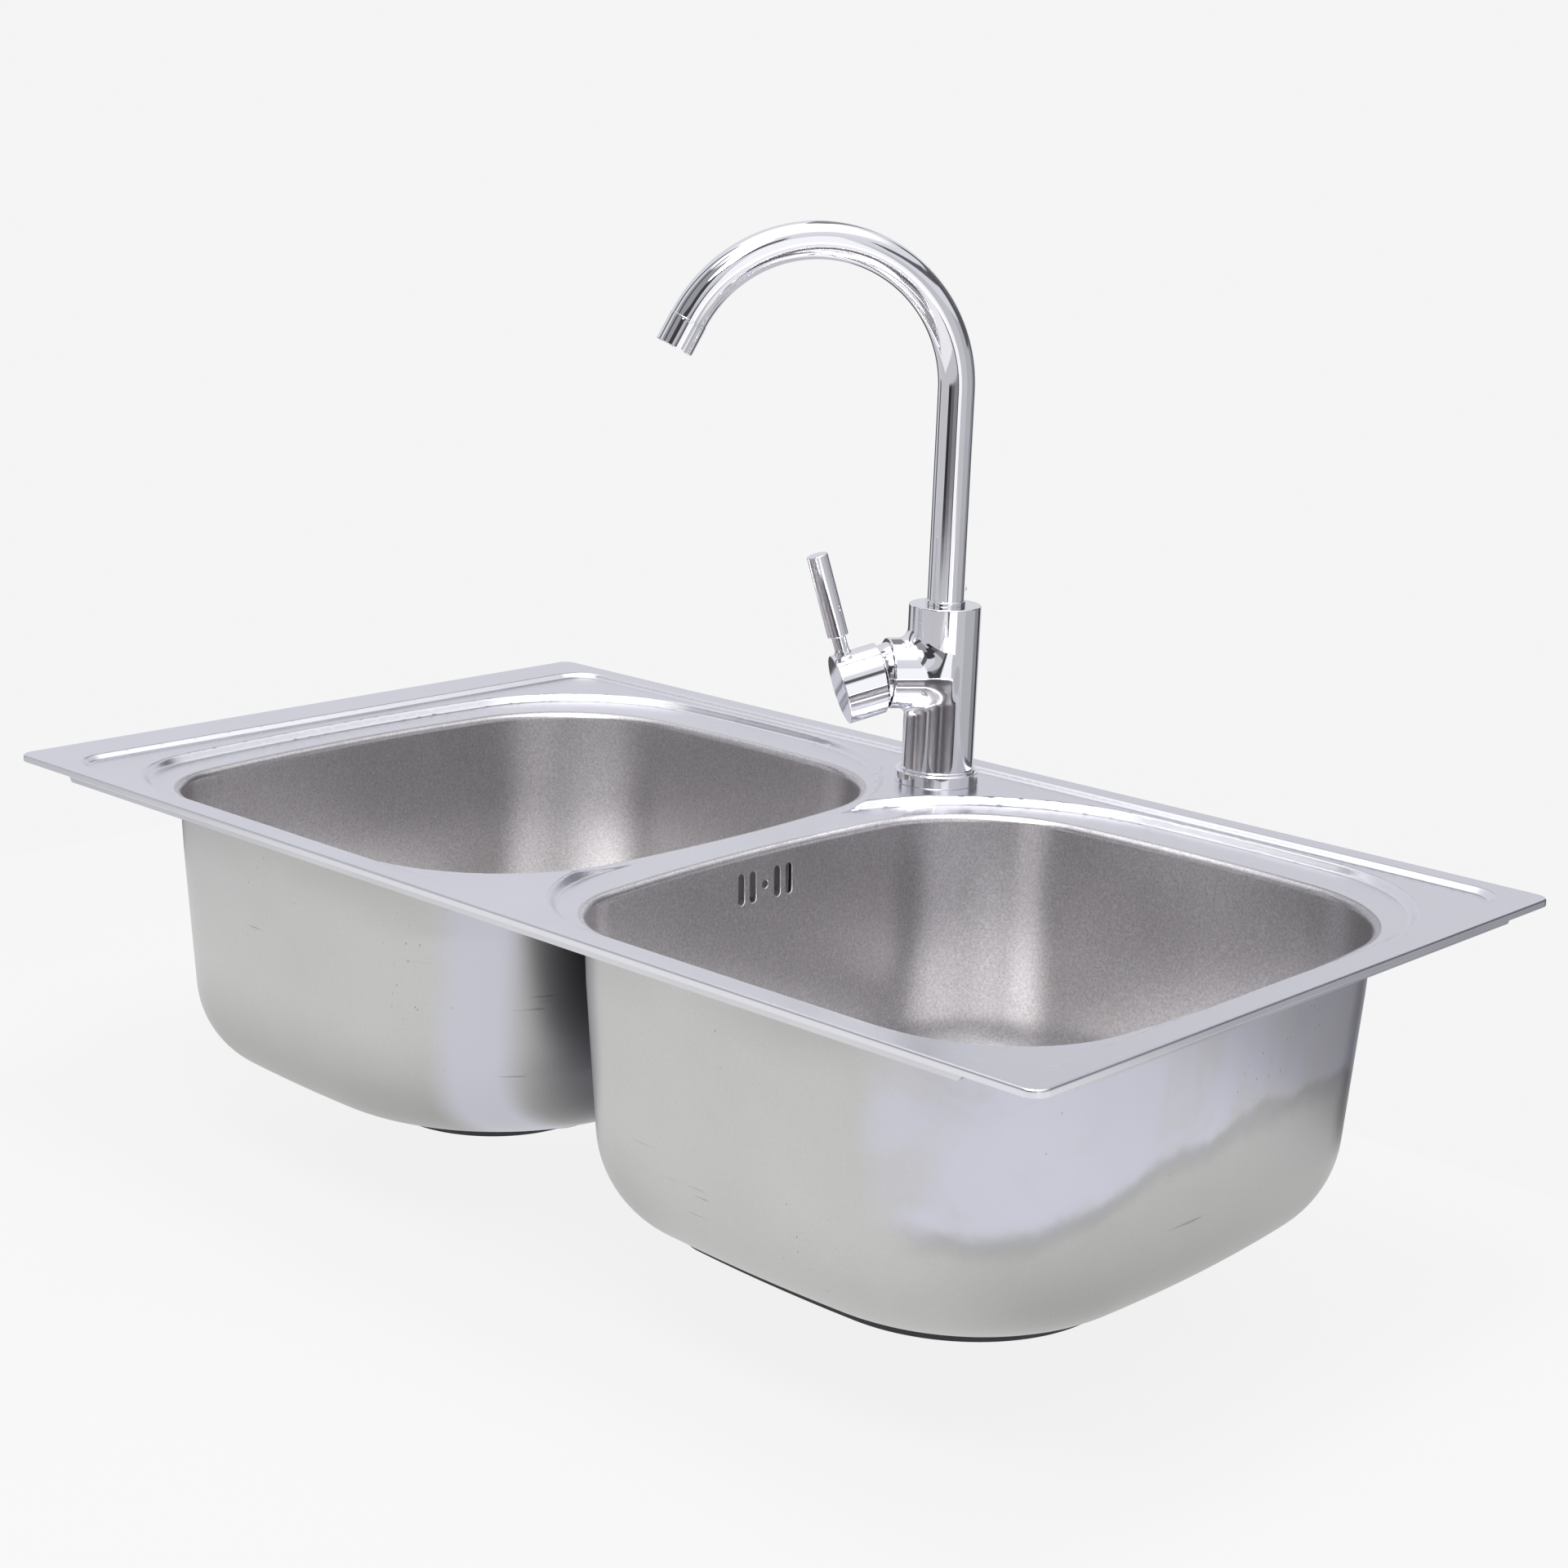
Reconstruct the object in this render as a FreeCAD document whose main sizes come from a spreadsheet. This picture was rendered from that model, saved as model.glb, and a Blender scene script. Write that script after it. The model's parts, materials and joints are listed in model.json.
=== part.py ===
import FreeCAD, Part
import os, math
import Sketcher
from FreeCAD import Vector, Placement, Rotation

os.makedirs("parts", exist_ok=True)
doc = FreeCAD.newDocument("kitchen_sink")

# ---------------------------------------------------------------- dimensions
# Millimetres.  Origin: centre of the rim's seating plane, +Z up, +Y to the back.
sheet = doc.addObject("Spreadsheet::Sheet", "Sheet")
DIMS = [
    ("rim_len", 860.0), ("rim_dep", 500.0), ("rim_cor", 10.0), ("rim_fold", 4.5),
    ("steel", 1.0), ("rim_round", 1.2),
    # first step: from the flat border down to the deck, heights below the rim top
    ("border_left", 33.0), ("border_right", 18.0), ("border_front", 15.4), ("border_back", 14.6),
    ("deck_cor", 25.0), ("deck_drop", 3.2),
    # second step: from the deck down to the ring round each bowl
    ("ring_drop", 8.0), ("ring_slope", 6.5), ("ring_bow", 1600.0),
    ("ringl_xa", -374.0), ("ringl_xb", 8.0), ("ringr_xa", 5.0), ("ringr_xb", 401.5),
    ("ring_ya", -224.0), ("ring_yb", 220.0),
    ("ringl_fl", 66.0), ("ringl_fr", 105.0), ("ringl_br", 155.0), ("ringl_bl", 115.0),
    ("ringr_fl", 95.0), ("ringr_fr", 85.0), ("ringr_br", 105.0), ("ringr_bl", 155.0),
    # bowls
    ("bowll_xa", -348.0), ("bowll_xb", -2.0), ("bowlr_xa", 34.0), ("bowlr_xb", 396.0),
    ("bowl_ya", -218.5), ("bowl_yb", 183.0), ("bowl_bow", 1100.0),
    ("bowll_fl", 62.0), ("bowll_fr", 115.0), ("bowll_br", 95.0), ("bowll_bl", 102.0),
    ("bowlr_fl", 68.0), ("bowlr_fr", 80.0), ("bowlr_br", 92.0), ("bowlr_bl", 95.0),
    ("lip_round", 5.0), ("bowl_depth", 201.0), ("bowl_draft", 2.9), ("bowll_round", 63.0), ("bowlr_round", 66.0),
    # growth of each plan corner from 44 mm down to the floor
    ("grow_top", -44.0), ("growl_fl", 16.0), ("growl_fr", 50.0), ("growl_br", 10.0), ("growl_bl", 5.0),
    ("growr_fl", 18.0), ("growr_fr", 65.0), ("growr_br", 10.0), ("growr_bl", 5.0),
    # fixing rails, rim seal, pads
    ("rail_inset", 9.0), ("rail_wide", 5.0), ("rail_high", 10.6), ("rail_wall", 1.0),
    ("rail_front_xa", -388.0), ("rail_front_xb", 382.0), ("rail_side_ya", -215.0), ("rail_side_yb", 222.0),
    ("seal_wide", 7.4), ("pad_thick", 4.0), ("padl_inset", 69.0), ("padr_inset", 57.0), ("pad_hole_r", 66.0),
    ("padl_fr", 69.0), ("padr_fr", 92.0), ("pad_cor", 30.0),
    # waste strainers, heights from the bowl floor
    ("drain_y", 20.0), ("drain_dx", -15.0), ("drain_hole_r", 43.5), ("flange_r", 57.0), ("flange_up", 1.6),
    ("cup_r", 42.5), ("cup_wall", 1.2), ("cup_deep", 24.0),
    ("gasket_ri", 43.6), ("gasket_ro", 56.0), ("gasket_thick", 3.0),
    ("waste_r", 46.5), ("waste_bore", 43.0), ("waste_deep", 30.0), ("outlet_r", 23.9), ("outlet_bore", 20.8),
    ("outlet_top", 43.0), ("outlet_end", 57.0),
    ("basket_r", 40.8), ("basket_foot_r", 35.0), ("basket_wall", 0.9),
    # overflow
    ("overflow_y", -14.0), ("overflow_drop", 31.0), ("slot_wide", 5.5), ("slot_high", 20.0),
    ("slot_pitch_in", 11.0), ("slot_pitch_out", 21.5), ("overflow_hole", 5.3),
    ("over_box_y", 66.0), ("over_box_z", 36.0), ("over_box_x", 14.0), ("over_spigot_r", 10.0), ("over_spigot_bore", 8.0),
    # mixer tap, heights from the deck surface
    ("tap_x", 1.0), ("tap_y", 191.0), ("tap_hole_r", 17.5),
    ("base_r", 28.6), ("base_step_r", 26.0), ("base_low", 8.2), ("base_high", 10.0),
    ("body_r", 24.3), ("body_foot", 3.0), ("body_top", 121.5), ("body_edge", 0.8),
    ("shank_r", 16.4), ("shank_bore", 13.5), ("shank_low", 48.0), ("shank_up", 21.0),
    ("branch_dir", 235.0), ("branch_z", 74.6), ("branch_r", 23.8), ("branch_len", 38.5), ("branch_blend", 6.0),
    ("cart_r", 17.5), ("cart_foot", 6.0), ("cart_head", 36.8),
    ("pivot_s", 33.0), ("dome_r", 21.6), ("cap_bore", 22.2), ("cap_r", 23.6),
    ("cap_rim", 10.9), ("cap_len", 28.1), ("cap_bevel", 7.0), ("lever_tilt", 17.0), ("lever_back", 8.3),
    ("neck_r", 4.75), ("neck_flare", 5.8), ("neck_len", 13.5), ("rod_r", 7.1), ("rod_len", 56.8),
    ("spout_dir", 235.0), ("spout_r", 12.25), ("spout_bore", 10.6), ("spout_rise", 264.0),
    ("spout_bend", 95.3), ("spout_sweep", 153.0), ("spout_foot", 100.5),
    ("slip_r", 13.5), ("slip_high", 3.0), ("aer_r", 12.6), ("aer_len", 20.0),
]
for i, (alias, value) in enumerate(DIMS):
    cell = "B%d" % (i + 1)
    sheet.set("A%d" % (i + 1), alias)
    sheet.set(cell, repr(value))
    sheet.setAlias(cell, alias)
doc.recompute()


class Q:
    """A sheet quantity: a number together with its sheet expression."""

    def __init__(self, v, t):
        self.v, self.t = float(v), t

    def __add__(self, o): o = q(o); return Q(self.v + o.v, "(%s + %s)" % (self.t, o.t))
    def __radd__(self, o): return q(o) + self
    def __sub__(self, o): o = q(o); return Q(self.v - o.v, "(%s - %s)" % (self.t, o.t))
    def __rsub__(self, o): return q(o) - self
    def __mul__(self, o): o = q(o); return Q(self.v * o.v, "(%s * %s)" % (self.t, o.t))
    def __rmul__(self, o): return q(o) * self
    def __neg__(self): return Q(-self.v, "(0 - %s)" % self.t)


def q(x):
    return x if isinstance(x, Q) else Q(x, "%.6f" % x if x >= 0 else "(0 - %.6f)" % (-x))


def S(alias):
    return Q(sheet.get(alias), "Sheet." + alias)


def N(alias):
    return float(sheet.get(alias))


NODES = []


def node(obj, name, base=None, rot=None):
    """Name a sub-part and set its placement."""
    obj.Label = name
    if base is None:
        base = (0, 0, 0)
    vals = [b.v if isinstance(b, Q) else float(b) for b in base]
    obj.Placement = Placement(Vector(*vals), rot if rot is not None else Rotation())
    for axis, b in zip("xyz", base):
        if isinstance(b, Q):
            obj.setExpression("Placement.Base." + axis, b.t)
    NODES.append(obj)
    return obj


def plane_of(body, role):
    return [f for f in body.Origin.OriginFeatures if f.Role == role][0]


def poly(body, name, role, pts):
    """Closed polygon sketch, every corner dimensioned from the sheet."""
    sk = body.newObject("Sketcher::SketchObject", name)
    sk.AttachmentSupport = [(plane_of(body, role), "")]
    sk.MapMode = "FlatFace"
    P = [(q(a), q(b)) for a, b in pts]
    n = len(P)
    for i in range(n):
        a, b = P[i], P[(i + 1) % n]
        sk.addGeometry(Part.LineSegment(Vector(a[0].v, a[1].v, 0), Vector(b[0].v, b[1].v, 0)), False)
    for i in range(n):
        sk.addConstraint(Sketcher.Constraint("Coincident", i, 2, (i + 1) % n, 1))
    for i, (a, b) in enumerate(P):
        for kind, e, ax in (("DistanceX", a, -2), ("DistanceY", b, -1)):
            if abs(e.v) < 1e-9:
                sk.addConstraint(Sketcher.Constraint("PointOnObject", i, 1, ax))
            else:
                c = sk.addConstraint(Sketcher.Constraint(kind, -1, 1, i, 1, e.v))
                if "Sheet." in e.t:
                    sk.setExpression("Constraints[%d]" % c, e.t)
    return sk


def circles(body, name, role, spots):
    """Circles of (x, y, radius)."""
    sk = body.newObject("Sketcher::SketchObject", name)
    sk.AttachmentSupport = [(plane_of(body, role), "")]
    sk.MapMode = "FlatFace"
    for i, (x, y, r) in enumerate(spots):
        x, y, r = q(x), q(y), q(r)
        sk.addGeometry(Part.Circle(Vector(x.v, y.v, 0), Vector(0, 0, 1), r.v), False)
        c = sk.addConstraint(Sketcher.Constraint("Radius", i, r.v))
        if "Sheet." in r.t:
            sk.setExpression("Constraints[%d]" % c, r.t)
        for kind, e, ax in (("DistanceX", x, -2), ("DistanceY", y, -1)):
            if abs(e.v) < 1e-9:
                sk.addConstraint(Sketcher.Constraint("PointOnObject", i, 3, ax))
            else:
                c = sk.addConstraint(Sketcher.Constraint(kind, -1, 1, i, 3, e.v))
                if "Sheet." in e.t:
                    sk.setExpression("Constraints[%d]" % c, e.t)
    return sk


def turned(name, pts, base=None, rot=None):
    """A turned piece: profile of (radius, height) about the local Z axis."""
    body = doc.addObject("PartDesign::Body", name)
    sk = poly(body, name + "_profile", "XZ_Plane", pts)
    rev = body.newObject("PartDesign::Revolution", name + "_turn")
    rev.Profile = sk
    rev.ReferenceAxis = (sk, ["V_Axis"])
    rev.Angle = 360.0
    sk.Visibility = False
    return node(body, name, base, rot)


def drill(body, name, role, spots, reverse=False):
    """Through holes square to one of the body's planes; checked to take material."""
    doc.recompute()
    before = body.Shape.Volume
    sk = circles(body, name + "_sketch", role, spots)
    pk = body.newObject("PartDesign::Pocket", name)
    pk.Profile = sk
    pk.Type = 1
    pk.Reversed = reverse
    if hasattr(pk, "SideType"):
        pk.SideType = "Symmetric"
    else:
        pk.Midplane = True
    sk.Visibility = False
    doc.recompute()
    assert body.Shape.Volume < before - 0.5, name
    return pk


def feature(name, shape, base=None, rot=None):
    obj = doc.addObject("Part::Feature", name)
    obj.Shape = shape
    return node(obj, name, base, rot)


# ---------------------------------------------------------------- outlines
def corner(a, b, bow, r):
    """Corner circle tangent inside two equal arcs: centre and the two tangent points."""
    rho = bow - r
    ax, ay, bx, by = a - bow, 0.0, 0.0, b - bow
    mx, my = (ax + bx) / 2, (ay + by) / 2
    dx, dy = bx - ax, by - ay
    d = math.hypot(dx, dy)
    hgt = math.sqrt(rho * rho - d * d / 4)
    cx, cy = mx - dy / d * hgt, my + dx / d * hgt
    if cx < 0 or cy < 0:
        cx, cy = mx + dy / d * hgt, my - dx / d * hgt
    k = bow / rho
    return (cx, cy), (ax + (cx - ax) * k, ay + (cy - ay) * k), (bx + (cx - bx) * k, by + (cy - by) * k)


def outline(xa, xb, ya, yb, bow, radii, off, z):
    """Closed wire of eight tangent arcs: four bowed sides and four corners, grown by off."""
    cx, cy = (xa + xb) / 2, (ya + yb) / 2
    a, b, w = (xb - xa) / 2 + off, (yb - ya) / 2 + off, bow + off
    signs = [(-1, -1), (1, -1), (1, 1), (-1, 1)]
    cs = []
    for (sx, sy), r in zip(signs, radii):
        c, t1, t2 = corner(a, b, w, r + off)
        cs.append([(cx + sx * p[0], cy + sy * p[1]) for p in (c, t1, t2)])
    sides = [(cx, cy - b + w), (cx + a - w, cy), (cx, cy + b - w), (cx - a + w, cy)]

    def arc(c, p, s):
        m = (p[0] + s[0] - 2 * c[0], p[1] + s[1] - 2 * c[1])
        k = math.hypot(p[0] - c[0], p[1] - c[1]) / math.hypot(*m)
        return Part.Arc(Vector(p[0], p[1], z), Vector(c[0] + m[0] * k, c[1] + m[1] * k, z), Vector(s[0], s[1], z)).toShape()

    e = [arc(sides[0], cs[0][2], cs[1][2]), arc(cs[1][0], cs[1][2], cs[1][1]),
         arc(sides[1], cs[1][1], cs[2][1]), arc(cs[2][0], cs[2][1], cs[2][2]),
         arc(sides[2], cs[2][2], cs[3][2]), arc(cs[3][0], cs[3][2], cs[3][1]),
         arc(sides[3], cs[3][1], cs[0][1]), arc(cs[0][0], cs[0][1], cs[0][2])]
    return Part.Wire(e)


def rounded(xa, xb, ya, yb, r, off, z):
    """Rounded rectangle wire, grown by off."""
    xa, xb, ya, yb, r = xa - off, xb + off, ya - off, yb + off, r + off
    k = r * (1 - math.sqrt(0.5))
    V = lambda x, y: Vector(x, y, z)
    e = [Part.LineSegment(V(xa + r, ya), V(xb - r, ya)).toShape(), Part.Arc(V(xb - r, ya), V(xb - k, ya + k), V(xb, ya + r)).toShape(),
         Part.LineSegment(V(xb, ya + r), V(xb, yb - r)).toShape(), Part.Arc(V(xb, yb - r), V(xb - k, yb - k), V(xb - r, yb)).toShape(),
         Part.LineSegment(V(xb - r, yb), V(xa + r, yb)).toShape(), Part.Arc(V(xa + r, yb), V(xa + k, yb - k), V(xa, yb - r)).toShape(),
         Part.LineSegment(V(xa, yb - r), V(xa, ya + r)).toShape(), Part.Arc(V(xa, ya + r), V(xa + k, ya + k), V(xa + r, ya)).toShape()]
    return Part.Wire(e)


def stack(make, levels):
    """Solid through parallel outlines, straight from level to level."""
    return Part.makeLoft([make(*lv) for lv in levels], True, True)


def slab(make, off, z0, z1):
    return Part.Face(make(off, z0)).extrude(Vector(0, 0, z1 - z0))


def cyl(r, p, d, length):
    return Part.makeCylinder(r, length, Vector(*p), Vector(*d))


def box(xa, xb, ya, yb, za, zb):
    return Part.makeBox(xb - xa, yb - ya, zb - za, Vector(xa, ya, za))


t = N("steel")
top = N("rim_fold")                       # rim top above the seating plane
HL, HD = N("rim_len") / 2, N("rim_dep") / 2
z_deck, z_ring = top - N("deck_drop"), top - N("ring_drop")
z_floor = top - N("bowl_depth")

f_rim = lambda off, z: rounded(-HL, HL, -HD, HD, N("rim_cor"), off, z)
f_deck = lambda off, z: rounded(-HL + N("border_left"), HL - N("border_right"), -HD + N("border_front"),
                                HD - N("border_back"), N("deck_cor"), off, z)
f_ringl = lambda off, z: outline(N("ringl_xa"), N("ringl_xb"), N("ring_ya"), N("ring_yb"), N("ring_bow"),
                                 [N("ringl_fl"), N("ringl_fr"), N("ringl_br"), N("ringl_bl")], off, z)
f_ringr = lambda off, z: outline(N("ringr_xa"), N("ringr_xb"), N("ring_ya"), N("ring_yb"), N("ring_bow"),
                                 [N("ringr_fl"), N("ringr_fr"), N("ringr_br"), N("ringr_bl")], off, z)


def bowl_line(side):
    def f(off, z, w=0.0):
        rr = [max(N("bowl%s_%s" % (side, c)) + w * N("grow%s_%s" % (side, c)), 3.0 - off) for c in ("fl", "fr", "br", "bl")]
        return outline(N("bowl%s_xa" % side), N("bowl%s_xb" % side), N("bowl_ya"), N("bowl_yb"), N("bowl_bow"), rr, off, z)
    return f


def pad_line(side):
    i, c = N("pad%s_inset" % side), N("pad_cor")
    rr = [i + c, i + N("pad%s_fr" % side), i + c, i + c]
    return lambda off, z: outline(N("bowl%s_xa" % side), N("bowl%s_xb" % side), N("bowl_ya"), N("bowl_yb"), N("bowl_bow"), rr, off, z)


f_bowll, f_bowlr = bowl_line("l"), bowl_line("r")

# ---------------------------------------------------------------- pressed deck
lip = N("lip_round")
g1 = t * math.tan(math.radians(22.5))
rise = N("ring_drop") - N("deck_drop")
g2 = t * math.tan(math.atan2(rise, N("ring_slope")) / 2)
w1, w2 = N("deck_drop"), N("ring_slope")

deck = slab(f_rim, 0.0, top - t, top)
fold = slab(f_rim, 0.0, 0.0, top).cut(slab(f_rim, -t, -1.0, top - t / 2))
deck = deck.fuse([fold,
                  stack(f_deck, [(g1, top - t), (g1 - w1, z_deck - t)]),
                  stack(f_ringl, [(w2 + g2, z_deck - t), (g2, z_ring - t)]),
                  stack(f_ringr, [(w2 + g2, z_deck - t), (g2, z_ring - t)])])
deck = deck.cut([stack(f_deck, [(1.0, top + 1.0), (0.0, top), (-w1, z_deck)]),
                 stack(f_ringl, [(w2, z_deck), (0.0, z_ring)]).fuse(slab(f_ringl, w2, z_deck, z_deck + 0.2)),
                 stack(f_ringr, [(w2, z_deck), (0.0, z_ring)]).fuse(slab(f_ringr, w2, z_deck, z_deck + 0.2)),
                 slab(f_bowll, lip, z_ring - 5, top + 1), slab(f_bowlr, lip, z_ring - 5, top + 1),
                 cyl(N("tap_hole_r"), (N("tap_x"), N("tap_y"), z_deck - 6), (0, 0, 1), 20)])
deck = deck.removeSplitter()
edges = [e for e in deck.Edges if abs(e.BoundBox.ZMin - top) < 1e-4 and abs(e.BoundBox.ZMax - top) < 1e-4
         and (abs(abs(e.CenterOfMass.x) - HL) < 4.0 or abs(abs(e.CenterOfMass.y) - HD) < 4.0)]
soft = deck.makeFillet(N("rim_round") - 0.25, edges)
if soft.isValid() and soft.Volume > 0.9 * deck.Volume:
    deck = soft
feature("sink_deck", deck)


# ---------------------------------------------------------------- bowls
def bowl_levels(grow, rb):
    """(offset, height, share of corner growth) down one bowl face; grow = 0 inside, = steel outside."""
    d = math.radians(N("bowl_draft"))
    out = []
    for k in range(6):
        a = math.pi / 2 * k / 5
        out.append((lip - (lip - grow) * math.sin(a), z_ring - lip + (lip - grow) * math.cos(a)))
    # wall, then the floor radius
    n = (-math.cos(d), math.sin(d))
    zw = z_floor + rb - rb * math.sin(d)
    ow = -(z_ring - lip - zw) * math.tan(d)
    c = (ow + rb * n[0], zw + rb * n[1])
    for z in (N("grow_top"), (N("grow_top") + zw) / 2):
        out.append((-(z_ring - lip - z) * math.tan(d) + grow / math.cos(d), z, (N("grow_top") - z) / (N("grow_top") - z_floor)))
    for k in range(8):
        a = d + (math.pi / 2 - d) * k / 7
        w = (N("grow_top") - c[1] + rb * math.sin(a)) / (N("grow_top") - z_floor)
        out.append((c[0] + (rb + grow) * math.cos(a), c[1] - (rb + grow) * math.sin(a), w))
    return out


def bowl_solids(f, rb):
    inner = stack(f, bowl_levels(0.0, rb))
    outer = stack(f, [(lip, z_ring)] + bowl_levels(t, rb))
    return inner, outer


inner_l, outer_l = bowl_solids(f_bowll, N("bowll_round"))
inner_r, outer_r = bowl_solids(f_bowlr, N("bowlr_round"))
cxl = (N("bowll_xa") + N("bowll_xb")) / 2 + N("drain_dx")
cxr = (N("bowlr_xa") + N("bowlr_xb")) / 2 + N("drain_dx")
dy = N("drain_y")
hole = lambda x, r: cyl(r, (x, dy, z_floor - 20), (0, 0, 1), 40)

left_bowl = outer_l.cut([inner_l, hole(cxl, N("drain_hole_r"))])
zo = top - N("overflow_drop")
yo = N("overflow_y")
xo = N("bowlr_xa")
cuts = [inner_r, hole(cxr, N("drain_hole_r")), cyl(N("overflow_hole") / 2, (xo - 8, yo, zo), (1, 0, 0), 20)]
for off in (-N("slot_pitch_out"), -N("slot_pitch_in"), N("slot_pitch_in"), N("slot_pitch_out")):
    r, hh = N("slot_wide") / 2, N("slot_high") / 2 - N("slot_wide") / 2
    s = box(xo - 8, xo + 12, yo + off - r, yo + off + r, zo - hh, zo + hh)
    s = s.fuse([cyl(r, (xo - 8, yo + off, zo + hh), (1, 0, 0), 20), cyl(r, (xo - 8, yo + off, zo - hh), (1, 0, 0), 20)])
    cuts.append(s)
right_bowl = outer_r.cut(cuts)
feature("left_bowl", left_bowl)
feature("right_bowl", right_bowl)

# ---------------------------------------------------------------- fixing rails under the border
rw, rh, rt = S("rail_wide"), S("rail_high"), S("rail_wall")


def rail(name, length_a, length_b, base, rot):
    """Folded C section along local X, open side to local +Y, ends cut on the slant."""
    body = doc.addObject("PartDesign::Body", name)
    sk = poly(body, name + "_section", "YZ_Plane",
              [(0, -rh), (rw, -rh), (rw, rt - rh), (rt, rt - rh), (rt, -rt), (rw, -rt), (rw, 0), (0, 0)])
    pad = body.newObject("PartDesign::Pad", name + "_pad")
    pad.Profile = sk
    pad.Length = length_b.v - length_a.v
    pad.setExpression("Length", (length_b - length_a).t)
    doc.recompute()
    bb = body.Shape.BoundBox
    sign = 1.0 if bb.XMax > 1.0 else -1.0
    ln = sign * (length_b - length_a)
    before = body.Shape.Volume
    cut = body.newObject("PartDesign::Pocket", name + "_ends")
    s2 = body.newObject("Sketcher::SketchObject", name + "_slant")
    s2.AttachmentSupport = [(plane_of(body, "XZ_Plane"), "")]
    s2.MapMode = "FlatFace"
    tri = [[(0, -0.5), (0, -rh.v - 1), (8 * sign, -rh.v - 1)],
           [(ln.v, -0.5), (ln.v, -rh.v - 1), (ln.v - 8 * sign, -rh.v - 1)]]
    k = 0
    for pts in tri:
        for i in range(3):
            a, b = pts[i], pts[(i + 1) % 3]
            s2.addGeometry(Part.LineSegment(Vector(a[0], a[1], 0), Vector(b[0], b[1], 0)), False)
        for i in range(3):
            s2.addConstraint(Sketcher.Constraint("Coincident", k + i, 2, k + (i + 1) % 3, 1))
        k += 3
    cut.Profile = s2
    cut.Type = 1
    if hasattr(cut, "SideType"):
        cut.SideType = "Symmetric"
    else:
        cut.Midplane = True
    sk.Visibility = False
    s2.Visibility = False
    doc.recompute()
    assert body.Shape.Volume < before - 0.5, name
    base = list(base)
    if sign < 0:
        base[0] = base[0] + (length_b - length_a).v * rot.multVec(Vector(1, 0, 0)).x
        base[1] = base[1] + (length_b - length_a).v * rot.multVec(Vector(1, 0, 0)).y
    return node(body, name, base, rot)


z_rail = top - t
ri = N("rail_inset")
rail("rail_front", S("rail_front_xa"), S("rail_front_xb"), (N("rail_front_xa"), -HD + ri, z_rail), Rotation())
rail("rail_back", S("rail_front_xa"), S("rail_front_xb"), (N("rail_front_xb"), HD - ri, z_rail), Rotation(Vector(0, 0, 1), 180))
rail("rail_right", S("rail_side_ya"), S("rail_side_yb"), (HL - ri, N("rail_side_ya"), z_rail), Rotation(Vector(0, 0, 1), 90))
rail("rail_left", S("rail_side_ya"), S("rail_side_yb"), (-HL + ri, N("rail_side_yb"), z_rail), Rotation(Vector(0, 0, 1), -90))

# foam strip under the border, level with the folded edge
feature("rim_seal", slab(f_rim, -t, 0.0, top - t).cut(slab(f_rim, -t - N("seal_wide"), -1.0, top)))

# ---------------------------------------------------------------- pads under the bowls
for name, side, cx in (("left_damping_pad", "l", cxl), ("right_damping_pad", "r", cxr)):
    zt = z_floor - t
    feature(name, slab(pad_line(side), -N("pad%s_inset" % side), zt - N("pad_thick"), zt).cut(
        cyl(N("pad_hole_r"), (cx, dy, zt - 20), (0, 0, 1), 40)))

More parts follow.
